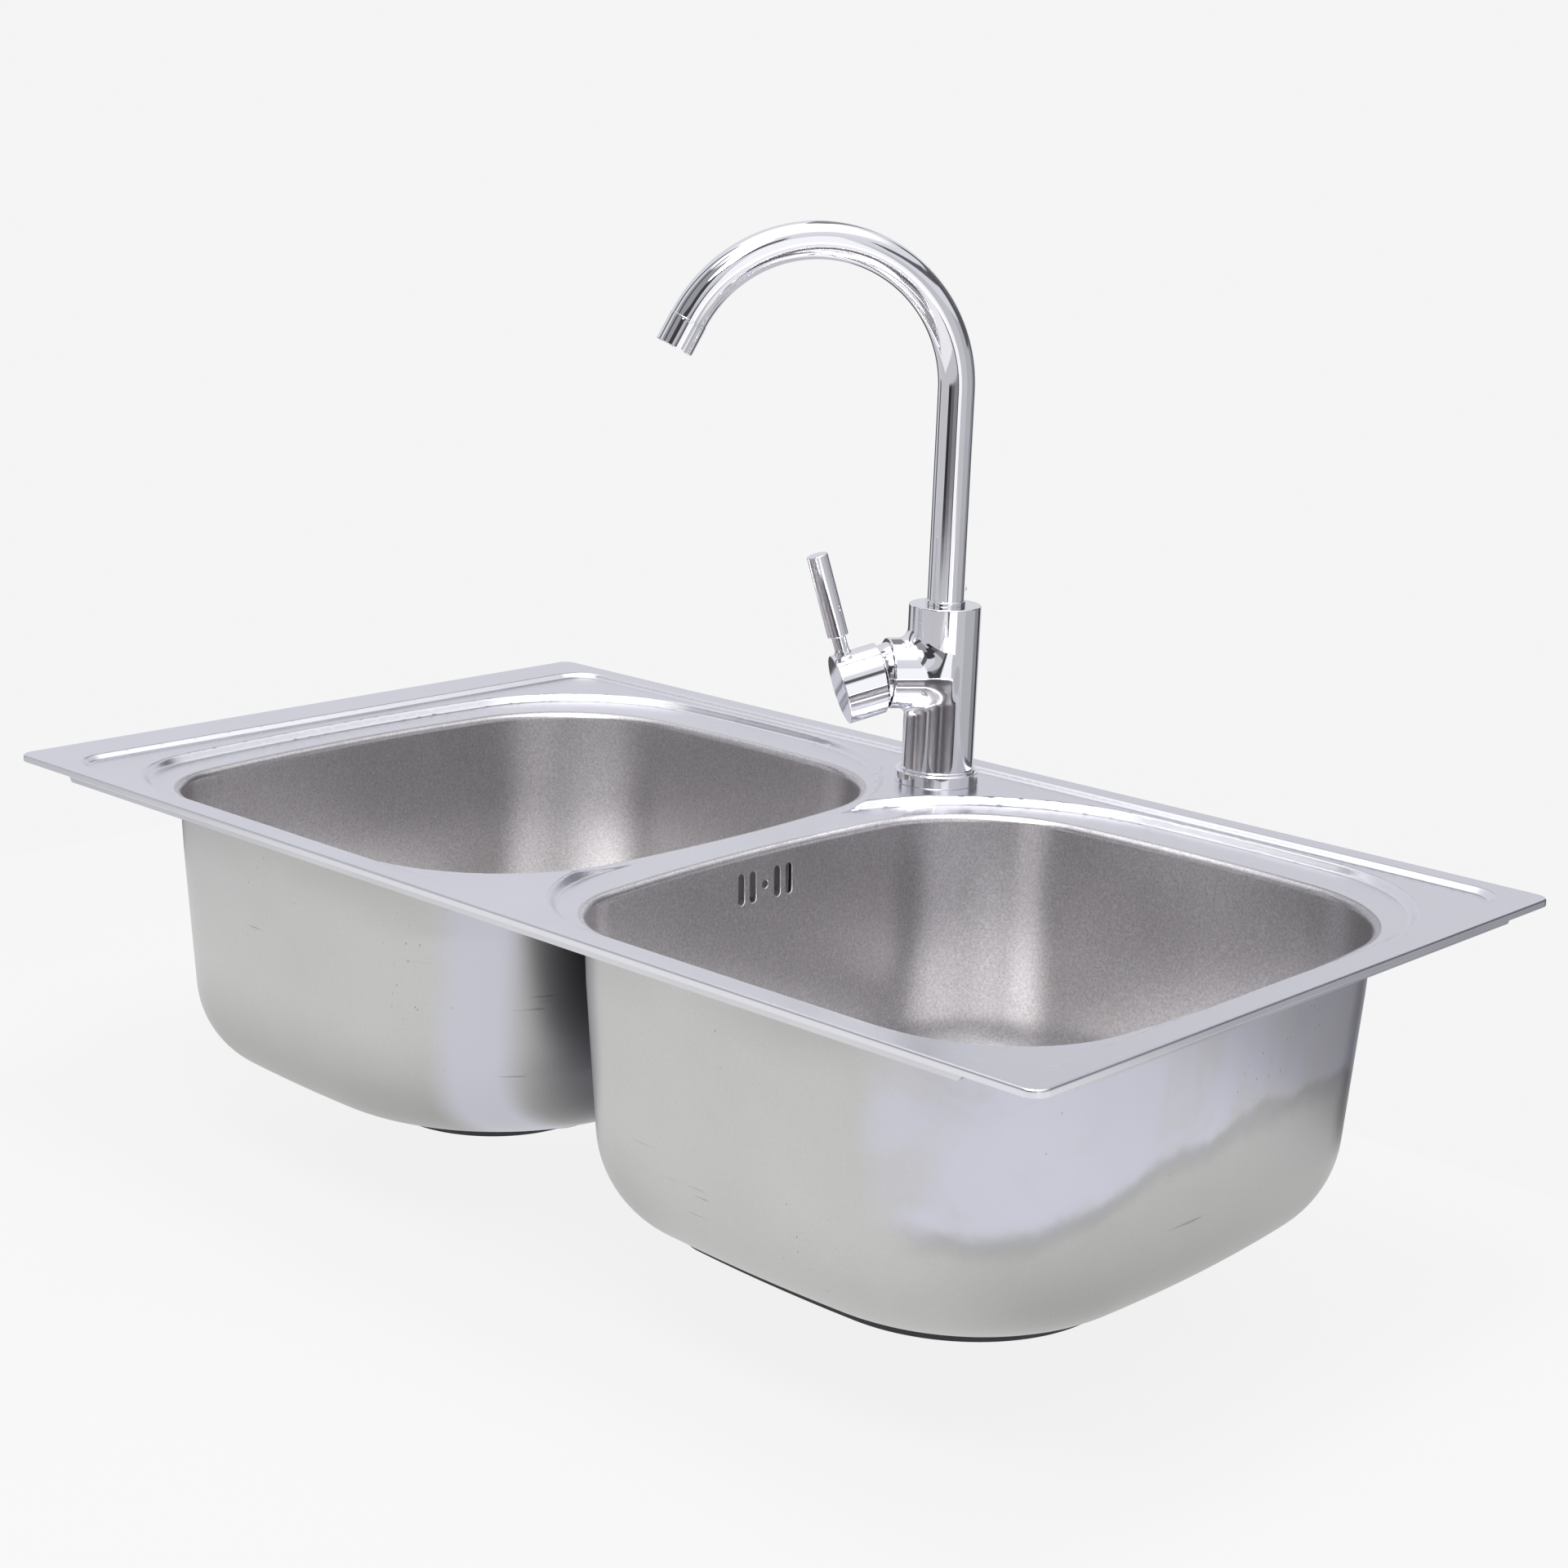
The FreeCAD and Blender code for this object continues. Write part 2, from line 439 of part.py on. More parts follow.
# ---------------------------------------------------------------- waste strainers
st = S("steel")
for side, cx in (("left", cxl), ("right", cxr)):
    at = (cx, S("drain_y"), S("rim_fold") - S("bowl_depth"))
    cr, cw, cd, fr = S("cup_r"), S("cup_wall"), S("cup_deep"), S("flange_r")
    fl = turned(side + "_strainer_flange",
                [(3.2, -cd), (cr, -cd), (cr, 0), (fr, 0), (fr, 0.5), (fr - 6, S("flange_up")), (cr + 1, S("flange_up")),
                 (cr - cw, -1), (cr - cw, cw - cd), (3.2, cw - cd)], at)
    drill(fl, side + "_flange_holes", "XY_Plane",
          [(15 * math.cos(math.radians(a)), 15 * math.sin(math.radians(a)), 3.6) for a in range(0, 360, 60)])
    turned(side + "_strainer_gasket",
           [(S("gasket_ri"), -st - S("gasket_thick")), (S("gasket_ro"), -st - S("gasket_thick")), (S("gasket_ro"), -st), (S("gasket_ri"), -st)], at)
    zg = -st - S("gasket_thick")
    wr, wb, wd, orad, ob = S("waste_r"), S("waste_bore"), S("waste_deep"), S("outlet_r"), S("outlet_bore")
    wbody = turned(side + "_strainer_body_blank",
                   [(wb, zg), (S("gasket_ro"), zg), (S("gasket_ro"), zg - 4), (wr, zg - 4), (wr, -wd - 2), (orad, -S("outlet_top")),
                    (orad, -S("outlet_end")), (ob, -S("outlet_end")), (ob, -S("outlet_top") + 2), (wb, -wd)], at)
    NODES.remove(wbody)
    doc.recompute()
    sh = wbody.Shape.copy()
    sh.Placement = Placement()
    hub = cyl(6.0, (0, 0, -N("cup_deep") - 18), (0, 0, 1), 17.8)
    ribs = [hub]
    for a in (90, 210, 330):
        b = box(0, N("waste_bore") + 1.0, -1.5, 1.5, -N("cup_deep") - 7.5, -N("cup_deep") - 1.5)
        b.rotate(Vector(0, 0, 0), Vector(0, 0, 1), a)
        ribs.append(b)
    sh = sh.fuse(ribs).cut(cyl(2.95, (0, 0, -80), (0, 0, 1), 80)).removeSplitter()
    feature(side + "_strainer_body", sh, at)
    turned(side + "_strainer_screw",
           [(0, -S("cup_deep") - 17), (2.9, -S("cup_deep") - 17), (2.9, cw - cd), (5.5, cw - cd), (5.5, cw - cd + 2), (4.5, cw - cd + 2.8), (0, cw - cd + 2.8)], at)
    # lift-out basket with its closing ring
    br, bf, bw = S("basket_r"), S("basket_foot_r"), S("basket_wall")
    bk = turned(side + "_basket",
                [(0, cw - cd + 3.2), (bf, cw - cd + 3.2), (br - 1.4, -5), (br, -2.6), (br, -1.8), (br - 1.8, -1.8), (br - 1.4 - bw, -5),
                 (bf - bw, cw - cd + 3.2 + bw), (3.2, cw - cd + 3.2 + bw), (3.2, -7), (9.5, -3.6), (9.5, -1.8), (8, -0.6), (0, -0.6)], at)
    spots = [(r * math.cos(a0 + 2 * math.pi * k / n), r * math.sin(a0 + 2 * math.pi * k / n), rr)
             for r, n, rr, a0 in ((14.5, 8, 1.9, 0.0), (20.5, 12, 1.9, 0.2), (26.5, 16, 1.9, 0.0), (32.0, 20, 1.7, 0.1)) for k in range(n)]
    drill(bk, side + "_basket_holes", "XY_Plane", spots)
    turned(side + "_basket_ring",
           [(7.0, cw - cd + 0.4), (20.5, cw - cd + 0.4), (21.5, cw - cd + 1.4), (11.5, cw - cd + 3.2), (7.0, cw - cd + 3.2)], at)

# ---------------------------------------------------------------- overflow behind the right bowl's inner side wall
oy, oz, ox = N("over_box_y") / 2, N("over_box_z") / 2, N("over_box_x")
xs = xo - 5.0                                    # face between seal and housing
seal = box(xs, xo + 6, yo - oy, yo + oy, zo - oz, zo + oz).cut([box(xs - 1, xo + 7, yo - oy + 5, yo + oy - 5, zo - oz + 5, zo + oz - 5), outer_r])
seal = max(seal.Solids, key=lambda s: s.Volume)
feature("overflow_seal", seal)
hous = box(xs - ox, xs, yo - oy, yo + oy, zo - oz, zo + oz)
hous = hous.makeFillet(3.0, [e for e in hous.Edges if abs(e.BoundBox.XMax - (xs - ox)) < 1e-6 and e.BoundBox.ZMax > zo - oz + 1])
hous = hous.cut(box(xs - ox + 2, xs + 1, yo - oy + 5, yo + oy - 5, zo - oz + 5, zo + oz - 5))
xp = xs - ox / 2
hous = hous.fuse(cyl(N("over_spigot_r") - 3.2, (xp, yo, zo - oz - 24), (0, 0, 1), 26))
hous = hous.cut(cyl(N("over_spigot_bore") - 3.2, (xp, yo, zo - oz - 25), (0, 0, 1), 32)).removeSplitter()
feature("overflow_housing", hous)

# ---------------------------------------------------------------- mixer tap: foot
tap = (S("tap_x"), S("tap_y"), S("rim_fold") - S("deck_drop"))
bl, bh = S("base_low"), S("base_high")
turned("tap_base_ring",
       [(17.2, 0), (22.5, 0), (22.5, 1.6), (26.5, 1.6), (26.5, 0), (S("base_r"), 0), (S("base_r"), bl - 0.4), (S("base_r") - 0.4, bl),
        (S("base_step_r"), bl), (S("base_step_r"), bh - 0.4), (S("base_step_r") - 0.4, bh), (S("body_r") + 0.05, bh), (S("body_r") + 0.05, S("body_foot")), (17.2, S("body_foot"))], tap)
turned("tap_base_seal", [(22.6, 0), (26.4, 0), (26.4, 1.6), (22.6, 1.6)], tap)
turned("tap_shank", [(S("shank_bore"), -S("shank_low")), (S("shank_r") - 1, -S("shank_low")), (S("shank_r"), 1 - S("shank_low")),
                     (S("shank_r"), S("shank_up")), (S("shank_bore"), S("shank_up"))], tap)
sr = S("shank_r")
turned("shank_rubber_washer", [(sr + 0.3, -st - 3), (27, -st - 3), (27, -st), (sr + 0.3, -st)], tap)
turned("shank_steel_washer", [(sr + 0.2, -st - 5), (26, -st - 5), (26, -st - 3), (sr + 0.2, -st - 3)], tap)
nut = doc.addObject("PartDesign::Body", "shank_nut")
af = 23.5
sk = poly(nut, "shank_nut_hex", "XY_Plane",
          [(af * math.cos(math.radians(a)), af * math.sin(math.radians(a))) for a in range(0, 360, 60)])
pd = nut.newObject("PartDesign::Pad", "shank_nut_pad")
pd.Profile = sk
pd.Length = 10.0
sk.Visibility = False
drill(nut, "shank_nut_bore", "XY_Plane", [(0, 0, sr + 0.03)])
doc.recompute()
nz = -15.0 - N("steel") if nut.Shape.BoundBox.ZMax > 5 else -5.0 - N("steel")
node(nut, "shank_nut", (S("tap_x"), S("tap_y"), S("rim_fold") - S("deck_drop") + nz))

# ---------------------------------------------------------------- mixer tap: body with side branch
bz, brr, bln = N("branch_z"), N("branch_r"), N("branch_len")
body = cyl(N("body_r"), (0, 0, N("body_foot")), (0, 0, 1), N("body_top") - N("body_foot"))
branch = cyl(brr, (0, 0, bz), (1, 0, 0), bln)
solid = body.fuse(branch).removeSplitter()
seam = []
for e in solid.Edges:
    bb = e.BoundBox
    if bb.XMin > 0.5 and bb.XMax < N("body_r") + 0.5 and bb.ZMax - bb.ZMin > 5 and bb.ZMax < bz + brr + 1 and bb.ZMin > bz - brr - 1 \
            and e.Curve.TypeId != "Part::GeomLine":
        seam.append(e)
blend = None
for r in (N("branch_blend"), 4.5, 3.0):
    try:
        b = solid.makeFillet(r, seam)
        if b.isValid() and b.Volume > solid.Volume:
            blend = b
            break
    except Exception:
        continue
if blend is not None:
    solid = blend
tip = [e for e in solid.Edges if abs(e.BoundBox.ZMin - N("body_top")) < 1e-4 and abs(e.BoundBox.ZMax - N("body_top")) < 1e-4 and e.Length > 100]
tip += [e for e in solid.Edges if abs(e.BoundBox.XMin - bln) < 1e-4 and abs(e.BoundBox.XMax - bln) < 1e-4 and e.Length > 100]
solid = solid.makeFillet(N("body_edge"), tip)
shoe = N("shank_up")
solid = solid.cut([
    cyl(N("shank_r") + 0.04, (0, 0, 0), (0, 0, 1), shoe),
    cyl(4.6, (0, 7.0, shoe - 1), (0, 0, 1), 13), cyl(4.6, (0, -7.0, shoe - 1), (0, 0, 1), 13),
    cyl(3.0, (0, 7.0, shoe), (0, 0, 1), bz - 8 - shoe), cyl(3.0, (0, -7.0, shoe), (0, 0, 1), bz - 8 - shoe),
    cyl(3.0, (0, 7.0, bz - 8), (1, 0, 0), 8), cyl(3.0, (0, -7.0, bz - 8), (1, 0, 0), 8),
    cyl(N("cart_r") + 0.06, (5.5, 0, bz), (1, 0, 0), 40), cyl(20.05, (30.0, 0, bz), (1, 0, 0), 20),
    cyl(4.0, (0, 0, bz + 8), (1, 0, 0), 8), cyl(4.0, (0, 0, bz + 8), (0, 0, 1), 20),
    cyl(N("spout_r") + 0.05, (0, 0, 100.0), (0, 0, 1), 30)])
solid = solid.removeSplitter()
turn_b = Rotation(Vector(0, 0, 1), N("branch_dir"))
feature("tap_body", solid, tap, turn_b)

# frame of the side branch: local Z along the branch, local X upwards
b_dir = Vector(math.cos(math.radians(N("branch_dir"))), math.sin(math.radians(N("branch_dir"))), 0)
b_side = Vector(0, 0, 1).cross(b_dir)
ax = Rotation(Vector(0, 0, 1), b_side, b_dir)       # local X up, local Y sideways, local Z outwards
tap0 = Vector(N("tap_x"), N("tap_y"), z_deck + bz)
b0 = (tap0.x, tap0.y, tap0.z)
pv = tap0 + b_dir * N("pivot_s")

ch, cf = S("cart_head"), S("cart_foot")
cart = turned("cartridge_housing", [(0, cf), (S("cart_r") - 0.6, cf), (S("cart_r"), cf + 0.6), (S("cart_r"), ch), (11.85, ch), (11.85, 24), (0, 24)], b0, ax)
drill(cart, "cartridge_ports", "XY_Plane", [(-8, 7.0, 2.6), (-8, -7.0, 2.6), (8, 0, 3.2)])
rings = Part.makeCompound([cyl(r + 1.3, (x, y, 5.5), (0, 0, 1), 0.5).cut(cyl(r, (x, y, 5.4), (0, 0, 1), 1.0))
                           for x, y, r in ((-8, 7.0, 3.0), (-8, -7.0, 3.0), (8, 0, 3.4))])
feature("cartridge_seals", rings, b0, ax)

ps = N("pivot_s")
car = cyl(11.8, (0, 0, 24.35), (0, 0, 1), 12.2).cut([box(-9, 9, -4.3, 4.3, 27, 40), cyl(1.5, (0, -14, ps), (0, 1, 0), 28)])
feature("cartridge_carrier", car, b0, ax)
turned("cartridge_pin", [(0, -11.2), (1.49, -11.2), (1.49, 11.2), (0, 11.2)], (pv.x, pv.y, pv.z), Rotation(Vector(0, 0, 1), b_side))

# threaded ring with the domed shoulder that closes the gap behind the handle
dr = N("dome_r")
ball = Part.makeSphere(dr, Vector(0, 0, ps))
ring = cyl(20.0, (0, 0, 30.2), (0, 0, 1), bln - 30.2 + 0.3).fuse(
    ball.common(box(-30, 30, -30, 30, bln + 0.1, bln + 8.0)))
ring = ring.cut([cyl(18.0, (0, 0, 30), (0, 0, 1), 7.0), cyl(13.0, (0, 0, 30), (0, 0, 1), 20), cyl(17.4, (0, 0, bln + 0.1), (0, 0, 1), 12)])
feature("cartridge_nut", ring.removeSplitter(), b0, ax)

# ---------------------------------------------------------------- lever
tilt = N("lever_tilt")
lev = Rotation(b_side, tilt)
if lev.multVec(b_dir).z > 0:
    lev = Rotation(b_side, -tilt)
lx = lev.multiply(ax)                               # local Z along the cap axis, local X up through the rod
c_at = (pv.x, pv.y, pv.z)
spin = cyl(4.0, (0, 0, -4.5), (0, 0, 1), 41.0).cut(cyl(1.56, (0, -10, 0), (0, 1, 0), 20))
feature("cartridge_spindle", spin, c_at, lx)

rim, cl, crad, cb = N("cap_rim"), N("cap_len"), N("cap_r"), N("cap_bore")
end = rim + cl
cap = cyl(crad, (0, 0, rim - 4), (0, 0, 1), cl + 4)
cap = cap.makeFillet(0.7, [e for e in cap.Edges if abs(e.BoundBox.ZMin - end) < 1e-5])
cap = cap.cut(cyl(cb, (0, 0, rim - 5), (0, 0, 1), end - 4.0 - rim + 5))
cap = cap.fuse(cyl(15.0, (0, 0, end - 20), (0, 0, 1), 17))
wedge = box(-60, 60, -60, 60, rim - 60, rim)
wedge.rotate(Vector(0, 0, rim), Vector(0, 1, 0), N("cap_bevel"))
rod_s = end - N("lever_back")
neck0 = crad - 0.8
cap = cap.cut([wedge, cyl(4.03, (0, 0, 0), (0, 0, 1), 36.6),
               cyl(N("neck_flare") + 0.03, (neck0, 0, rod_s), (1, 0, 0), 5), cyl(2.52, (8, 0, rod_s), (1, 0, 0), 20),
               cyl(2.52, (-30, 0, rod_s - 3), (1, 0, 0), 30)]).removeSplitter()
feature("handle_cap", cap, c_at, lx)
nf, nr, nl = S("neck_flare"), S("neck_r"), S("neck_len")
to_rod = lx.multiply(Rotation(Vector(0, 0, 1), Vector(1, 0, 0)))
base_n = pv + lx.multVec(Vector(neck0, 0, rod_s))
bn = (base_n.x, base_n.y, base_n.z)
turned("lever_neck", [(0, -12), (2.5, -12), (2.5, 0), (nf, 0), (nf, 1.6), (nr + 0.4, 2.8), (nr, 4.2), (nr, nl), (3.0, nl), (3.0, nl + 9), (0, nl + 9)], bn, to_rod)
rr, rl = S("rod_r"), S("rod_len")
turned("lever_rod", [(3.03, nl), (rr - 0.8, nl), (rr, nl + 0.8), (rr, nl + rl - 0.5), (rr - 0.5, nl + rl), (0, nl + rl), (0, nl + 10), (3.03, nl + 10)], bn, to_rod)
g_at = pv + lx.multVec(Vector(-4.04, 0, rod_s - 3))
turned("handle_grub_screw", [(0, 0), (1.6, 0), (2.48, 0.9), (2.48, 8), (1.3, 8), (1.3, 5), (0, 5)], (g_at.x, g_at.y, g_at.z),
       lx.multiply(Rotation(Vector(0, 0, 1), Vector(-1, 0, 0))))

# ---------------------------------------------------------------- spout
rs, rb2, zb = N("spout_bend"), N("spout_sweep"), N("spout_rise")
so, si, zf = N("spout_r"), N("spout_bore"), N("spout_foot")


def bent(r, z0):
    straight = cyl(r, (0, 0, z0), (0, 0, 1), zb - z0)
    disc = Part.Face(Part.Wire(Part.makeCircle(r, Vector(0, 0, zb), Vector(0, 0, 1))))
    bend = disc.revolve(Vector(rs, 0, zb), Vector(0, 1, 0), rb2)
    return straight.fuse(bend)


tube = bent(so, zf)
bore = bent(si, zf - 1)
cuts = [bore, cyl(2.03, (0, 0, 132), (-1, 0, 0), 20)]
for zz in (105.0, 112.0):
    cuts.append(cyl(so + 1, (0, 0, zz - 0.6), (0, 0, 1), 1.2).cut(cyl(so - 0.95, (0, 0, zz - 1), (0, 0, 1), 2)))
tube = tube.cut(cuts)
rot_s = Rotation(Vector(0, 0, 1), N("spout_dir"))
feature("spout_tube", tube, tap, rot_s)
feature("spout_o_rings", Part.makeCompound([Part.makeTorus(so - 0.46, 0.46, Vector(0, 0, zz)) for zz in (105.0, 112.0)]), tap, rot_s)
turned("spout_slip_ring", [(so + 0.07, S("body_top")), (S("slip_r") - 0.3, S("body_top")), (S("slip_r"), S("body_top") + 0.4), (S("slip_r"), S("body_top") + S("slip_high") - 0.6),
                           (S("slip_r") - 0.6, S("body_top") + S("slip_high")), (so + 0.07, S("body_top") + S("slip_high"))], tap)
p = Vector(N("tap_x"), N("tap_y"), z_deck + 132)
sd = rot_s.multVec(Vector(-1, 0, 0))
turned("spout_set_screw", [(0, 10.7), (2.0, 10.7), (2.0, so + 1.2), (1.6, so + 1.6), (0.9, so + 1.6), (0.9, so + 0.4), (0, so + 0.4)], (p.x, p.y, p.z), Rotation(Vector(0, 0, 1), sd))

a_end = math.radians(rb2)
tip_l = Vector(rs - rs * math.cos(a_end), 0, zb + rs * math.sin(a_end))
tan_l = Vector(math.sin(a_end), 0, math.cos(a_end))
tip_w = Vector(N("tap_x"), N("tap_y"), z_deck) + rot_s.multVec(tip_l)
tan_w = rot_s.multVec(tan_l)
ra = Rotation(Vector(0, 0, 1), tan_w)
tw = (tip_w.x, tip_w.y, tip_w.z)
ar, al = S("aer_r"), S("aer_len")
turned("aerator_housing", [(8.2, -6), (S("spout_bore") - 0.3, -6), (S("spout_bore") - 0.3, 0), (ar - 0.3, 0), (ar, 0.3), (ar, al - 0.6), (ar - 0.6, al),
                           (10.3, al), (10.3, 8), (8.2, 8)], tw, ra)
turned("aerator_washer", [(7.4, 8), (10.2, 8), (10.2, 9.6), (7.4, 9.6)], tw, ra)
ins = turned("aerator_insert", [(0, 12), (7, 12), (7, 9.6), (10.2, 9.6), (10.2, al - 1.2), (9, al - 0.8), (0, al - 0.8)], tw, ra)
spots = [(0, 0, 0.9)] + [(r * math.cos(2 * math.pi * k / n), r * math.sin(2 * math.pi * k / n), 0.9)
                         for r, n in ((2.8, 6), (5.4, 12)) for k in range(n)]
drill(ins, "aerator_grid", "XY_Plane", spots)

# ---------------------------------------------------------------- checks and export
doc.recompute()
bad = [o.Name for o in doc.Objects if any(s in ("Invalid", "Error") for s in o.State)]
assert not bad, bad
labels = set()
for o in NODES:
    s = o.Shape
    assert not s.isNull() and s.isValid() and s.Volume > 1.0, o.Label
    assert o.Label not in labels and len(o.Label) < 60
    labels.add(o.Label)
    s.exportStep("parts/%s.step" % o.Label)
    b = s.BoundBox
    print("%-26s solids %d vol %10.1f  x %7.1f %7.1f  y %7.1f %7.1f  z %7.1f %7.1f" % (
        o.Label, len(s.Solids), s.Volume, b.XMin, b.XMax, b.YMin, b.YMax, b.ZMin, b.ZMax))
print("nodes", len(NODES))
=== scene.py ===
import bpy, math, json
import numpy as np
from mathutils import Vector, Matrix
from mathutils.geometry import delaunay_2d_cdt


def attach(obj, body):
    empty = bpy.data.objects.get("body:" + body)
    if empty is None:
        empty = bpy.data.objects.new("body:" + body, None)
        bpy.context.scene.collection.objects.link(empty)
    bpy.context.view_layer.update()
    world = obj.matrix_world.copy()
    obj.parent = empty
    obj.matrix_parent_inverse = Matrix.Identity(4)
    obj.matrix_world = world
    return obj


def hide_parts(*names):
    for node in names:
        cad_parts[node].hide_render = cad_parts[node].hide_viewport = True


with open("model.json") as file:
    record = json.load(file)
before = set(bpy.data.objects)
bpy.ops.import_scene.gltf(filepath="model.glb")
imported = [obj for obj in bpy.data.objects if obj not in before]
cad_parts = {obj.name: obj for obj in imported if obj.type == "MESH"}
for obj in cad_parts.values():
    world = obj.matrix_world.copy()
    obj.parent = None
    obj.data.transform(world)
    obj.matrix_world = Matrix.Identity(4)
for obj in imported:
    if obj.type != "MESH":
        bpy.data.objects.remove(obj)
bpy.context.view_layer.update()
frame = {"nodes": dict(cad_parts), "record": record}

NODE = frame["nodes"]
PI = math.pi


# ------------------------------------------------------------------ mesh helpers (mm in, m out)
def mesh_obj(name, verts, faces, normals=None, body="sink", replaces=(), slot=None, mats=(), mat_idx=None, sharp=None):
    me = bpy.data.meshes.new(name)
    if normals is not None:
        # winding follows the stated normals, face by face
        V, N = np.asarray(verts, float), np.asarray(normals, float)
        out = []
        for k in (3, 4):
            idx = [i for i, t in enumerate(faces) if len(t) == k]
            if not idx:
                continue
            A = np.array([faces[i] for i in idx])
            P = V[A]
            g = np.cross(P[:, 2] - P[:, 0], (P[:, 1] - P[:, 0]) if k == 3 else (P[:, 1] - P[:, 3]))
            bad = (g * N[A].sum(1)).sum(1) > 0
            A[bad] = A[bad][:, ::-1]
            out += list(zip(idx, A.tolist()))
        faces = [t for _, t in sorted(out)]
    v = (np.asarray(verts, float) * 0.001).tolist()
    me.from_pydata(v, [], [tuple(int(i) for i in f) for f in faces])
    me.update()
    me.polygons.foreach_set("use_smooth", [True] * len(me.polygons))
    for m in mats:
        me.materials.append(m)
    if mat_idx is not None:
        me.polygons.foreach_set("material_index", [int(i) for i in mat_idx])
    if normals is not None:
        n = np.asarray(normals, float)
        n = n / np.maximum(np.linalg.norm(n, axis=1, keepdims=True), 1e-12)
        me.normals_split_custom_set_from_vertices(n.tolist())
    elif sharp is not None:
        me.set_sharp_from_angle(angle=math.radians(sharp))
    ob = bpy.data.objects.new(name, me)
    bpy.context.scene.collection.objects.link(ob)
    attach(ob, body)
    if replaces:
        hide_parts(*replaces)
    return ob


def grid_faces(rows, cols, base=0, wrap=True, flip=False, skip=None):
    out = []
    for j in range(rows - 1):
        for i in range(cols if wrap else cols - 1):
            if skip is not None and skip(j, i):
                continue
            k = (i + 1) % cols
            a, b, c, d = base + j * cols + i, base + j * cols + k, base + (j + 1) * cols + k, base + (j + 1) * cols + i
            out.append((a, d, c, b) if flip else (a, b, c, d))
    return out


class Acc:
    """Collects vertices, normals and faces of one piece."""

    def __init__(self):
        self.v, self.n, self.f, self.m = [], [], [], []
        self.k = 0

    def add(self, v, n, f, m=0):
        v, n = np.asarray(v, float).reshape(-1, 3), np.asarray(n, float).reshape(-1, 3)
        self.v.append(v); self.n.append(n)
        self.f += [tuple(i + self.k for i in t) for t in f]
        self.m += [m] * len(f)
        self.k += len(v)

    def obj(self, name, **kw):
        return mesh_obj(name, np.vstack(self.v), self.f, np.vstack(self.n), mat_idx=self.m, **kw)


def round_profile(pts, steps=5):
    """pts: (r, z, corner radius).  Returns samples (r, z, nr, nz) along a closed or open profile with every
    rounded corner sampled; the side normal is to the right of travel."""
    closed = pts[0][:2] == pts[-1][:2]
    P = [np.array(p[:2], float) for p in (pts[:-1] if closed else pts)]
    R = [p[2] for p in (pts[:-1] if closed else pts)]
    n = len(P)
    out = []
    rng = range(n)
    for i in rng:
        p = P[i]
        if not closed and i in (0, n - 1):
            q = P[1] if i == 0 else P[n - 2]
            d = (q - p) if i == 0 else (p - q)
            d = d / np.linalg.norm(d)
            out.append((p[0], p[1], d[1], -d[0]))
            continue
        a, b = P[(i - 1) % n], P[(i + 1) % n]
        d0, d1 = (p - a) / np.linalg.norm(p - a), (b - p) / np.linalg.norm(b - p)
        cr = d0[0] * d1[1] - d0[1] * d1[0]
        ang = math.atan2(cr, float(d0 @ d1))
        n0, n1 = np.array([d0[1], -d0[0]]), np.array([d1[1], -d1[0]])
        r = R[i]
        if r <= 0 or abs(ang) < 1e-3:
            out.append((p[0], p[1], n0[0], n0[1]))
            if abs(ang) > 1e-3:
                out.append((p[0], p[1], n1[0], n1[1]))
            continue
        t = r * math.tan(abs(ang) / 2)
        t = min(t, 0.49 * np.linalg.norm(p - a), 0.49 * np.linalg.norm(b - p))
        r = t / math.tan(abs(ang) / 2)
        s = 1.0 if ang < 0 else -1.0            # arc centre side
        c = p - d0 * t - n0 * r * (-s) * -1.0 if False else (p - d0 * t) + n0 * (r * s)
        for k in range(steps + 1):
            w = k / steps
            aa = ang * w
            nn = np.array([n0[0] * math.cos(aa) - n0[1] * math.sin(aa), n0[0] * math.sin(aa) + n0[1] * math.cos(aa)])
            q = c - nn * (r * s)
            out.append((q[0], q[1], nn[0], nn[1]))
    if closed:
        out.append(out[0])
    return out


def lathe(name, pts, n=96, frame_m=None, steps=5, **kw):
    """Turned piece; profile runs so that its right-hand side faces out.  frame_m: 4x4 from local mm to row mm."""
    prof = np.array(round_profile(pts, steps))
    th = np.linspace(0, 2 * PI, n, endpoint=False)
    c, s = np.cos(th), np.sin(th)
    r, z, nr, nz = [prof[:, k][:, None] for k in range(4)]
    V = np.stack([r * c, r * s, z + 0 * c], -1).reshape(-1, 3)
    N = np.stack([nr * c, nr * s, nz + 0 * c], -1).reshape(-1, 3)
    F = []
    m = len(prof)
    for j in range(m - 1):
        if abs(prof[j, 0] - prof[j + 1, 0]) < 1e-9 and abs(prof[j, 1] - prof[j + 1, 1]) < 1e-9:
            continue
        if prof[j, 0] < 1e-9 and prof[j + 1, 0] < 1e-9:
            continue
        for i in range(n):
            k = (i + 1) % n
            a, b, cc, d = j * n + i, j * n + k, (j + 1) * n + k, (j + 1) * n + i
            if prof[j, 0] < 1e-9:
                F.append((a, cc, d))
            elif prof[j + 1, 0] < 1e-9:
                F.append((a, b, cc))
            else:
                F.append((a, b, cc, d))
    if frame_m is not None:
        M = np.array(frame_m)
        V = V @ M[:3, :3].T + M[:3, 3]
        N = N @ M[:3, :3].T
    # face winding follows the stated normals
    f0 = F[0] if len(F[0]) == 4 else F[len(F) // 2]
    a, b, c2 = V[f0[0]], V[f0[1]], V[f0[2]]
    if np.cross(b - a, c2 - a) @ N[f0[1]] < 0:
        F = [tuple(reversed(f)) for f in F]
    acc = Acc()
    acc.add(V, N, F)
    return acc.obj(name, **kw)


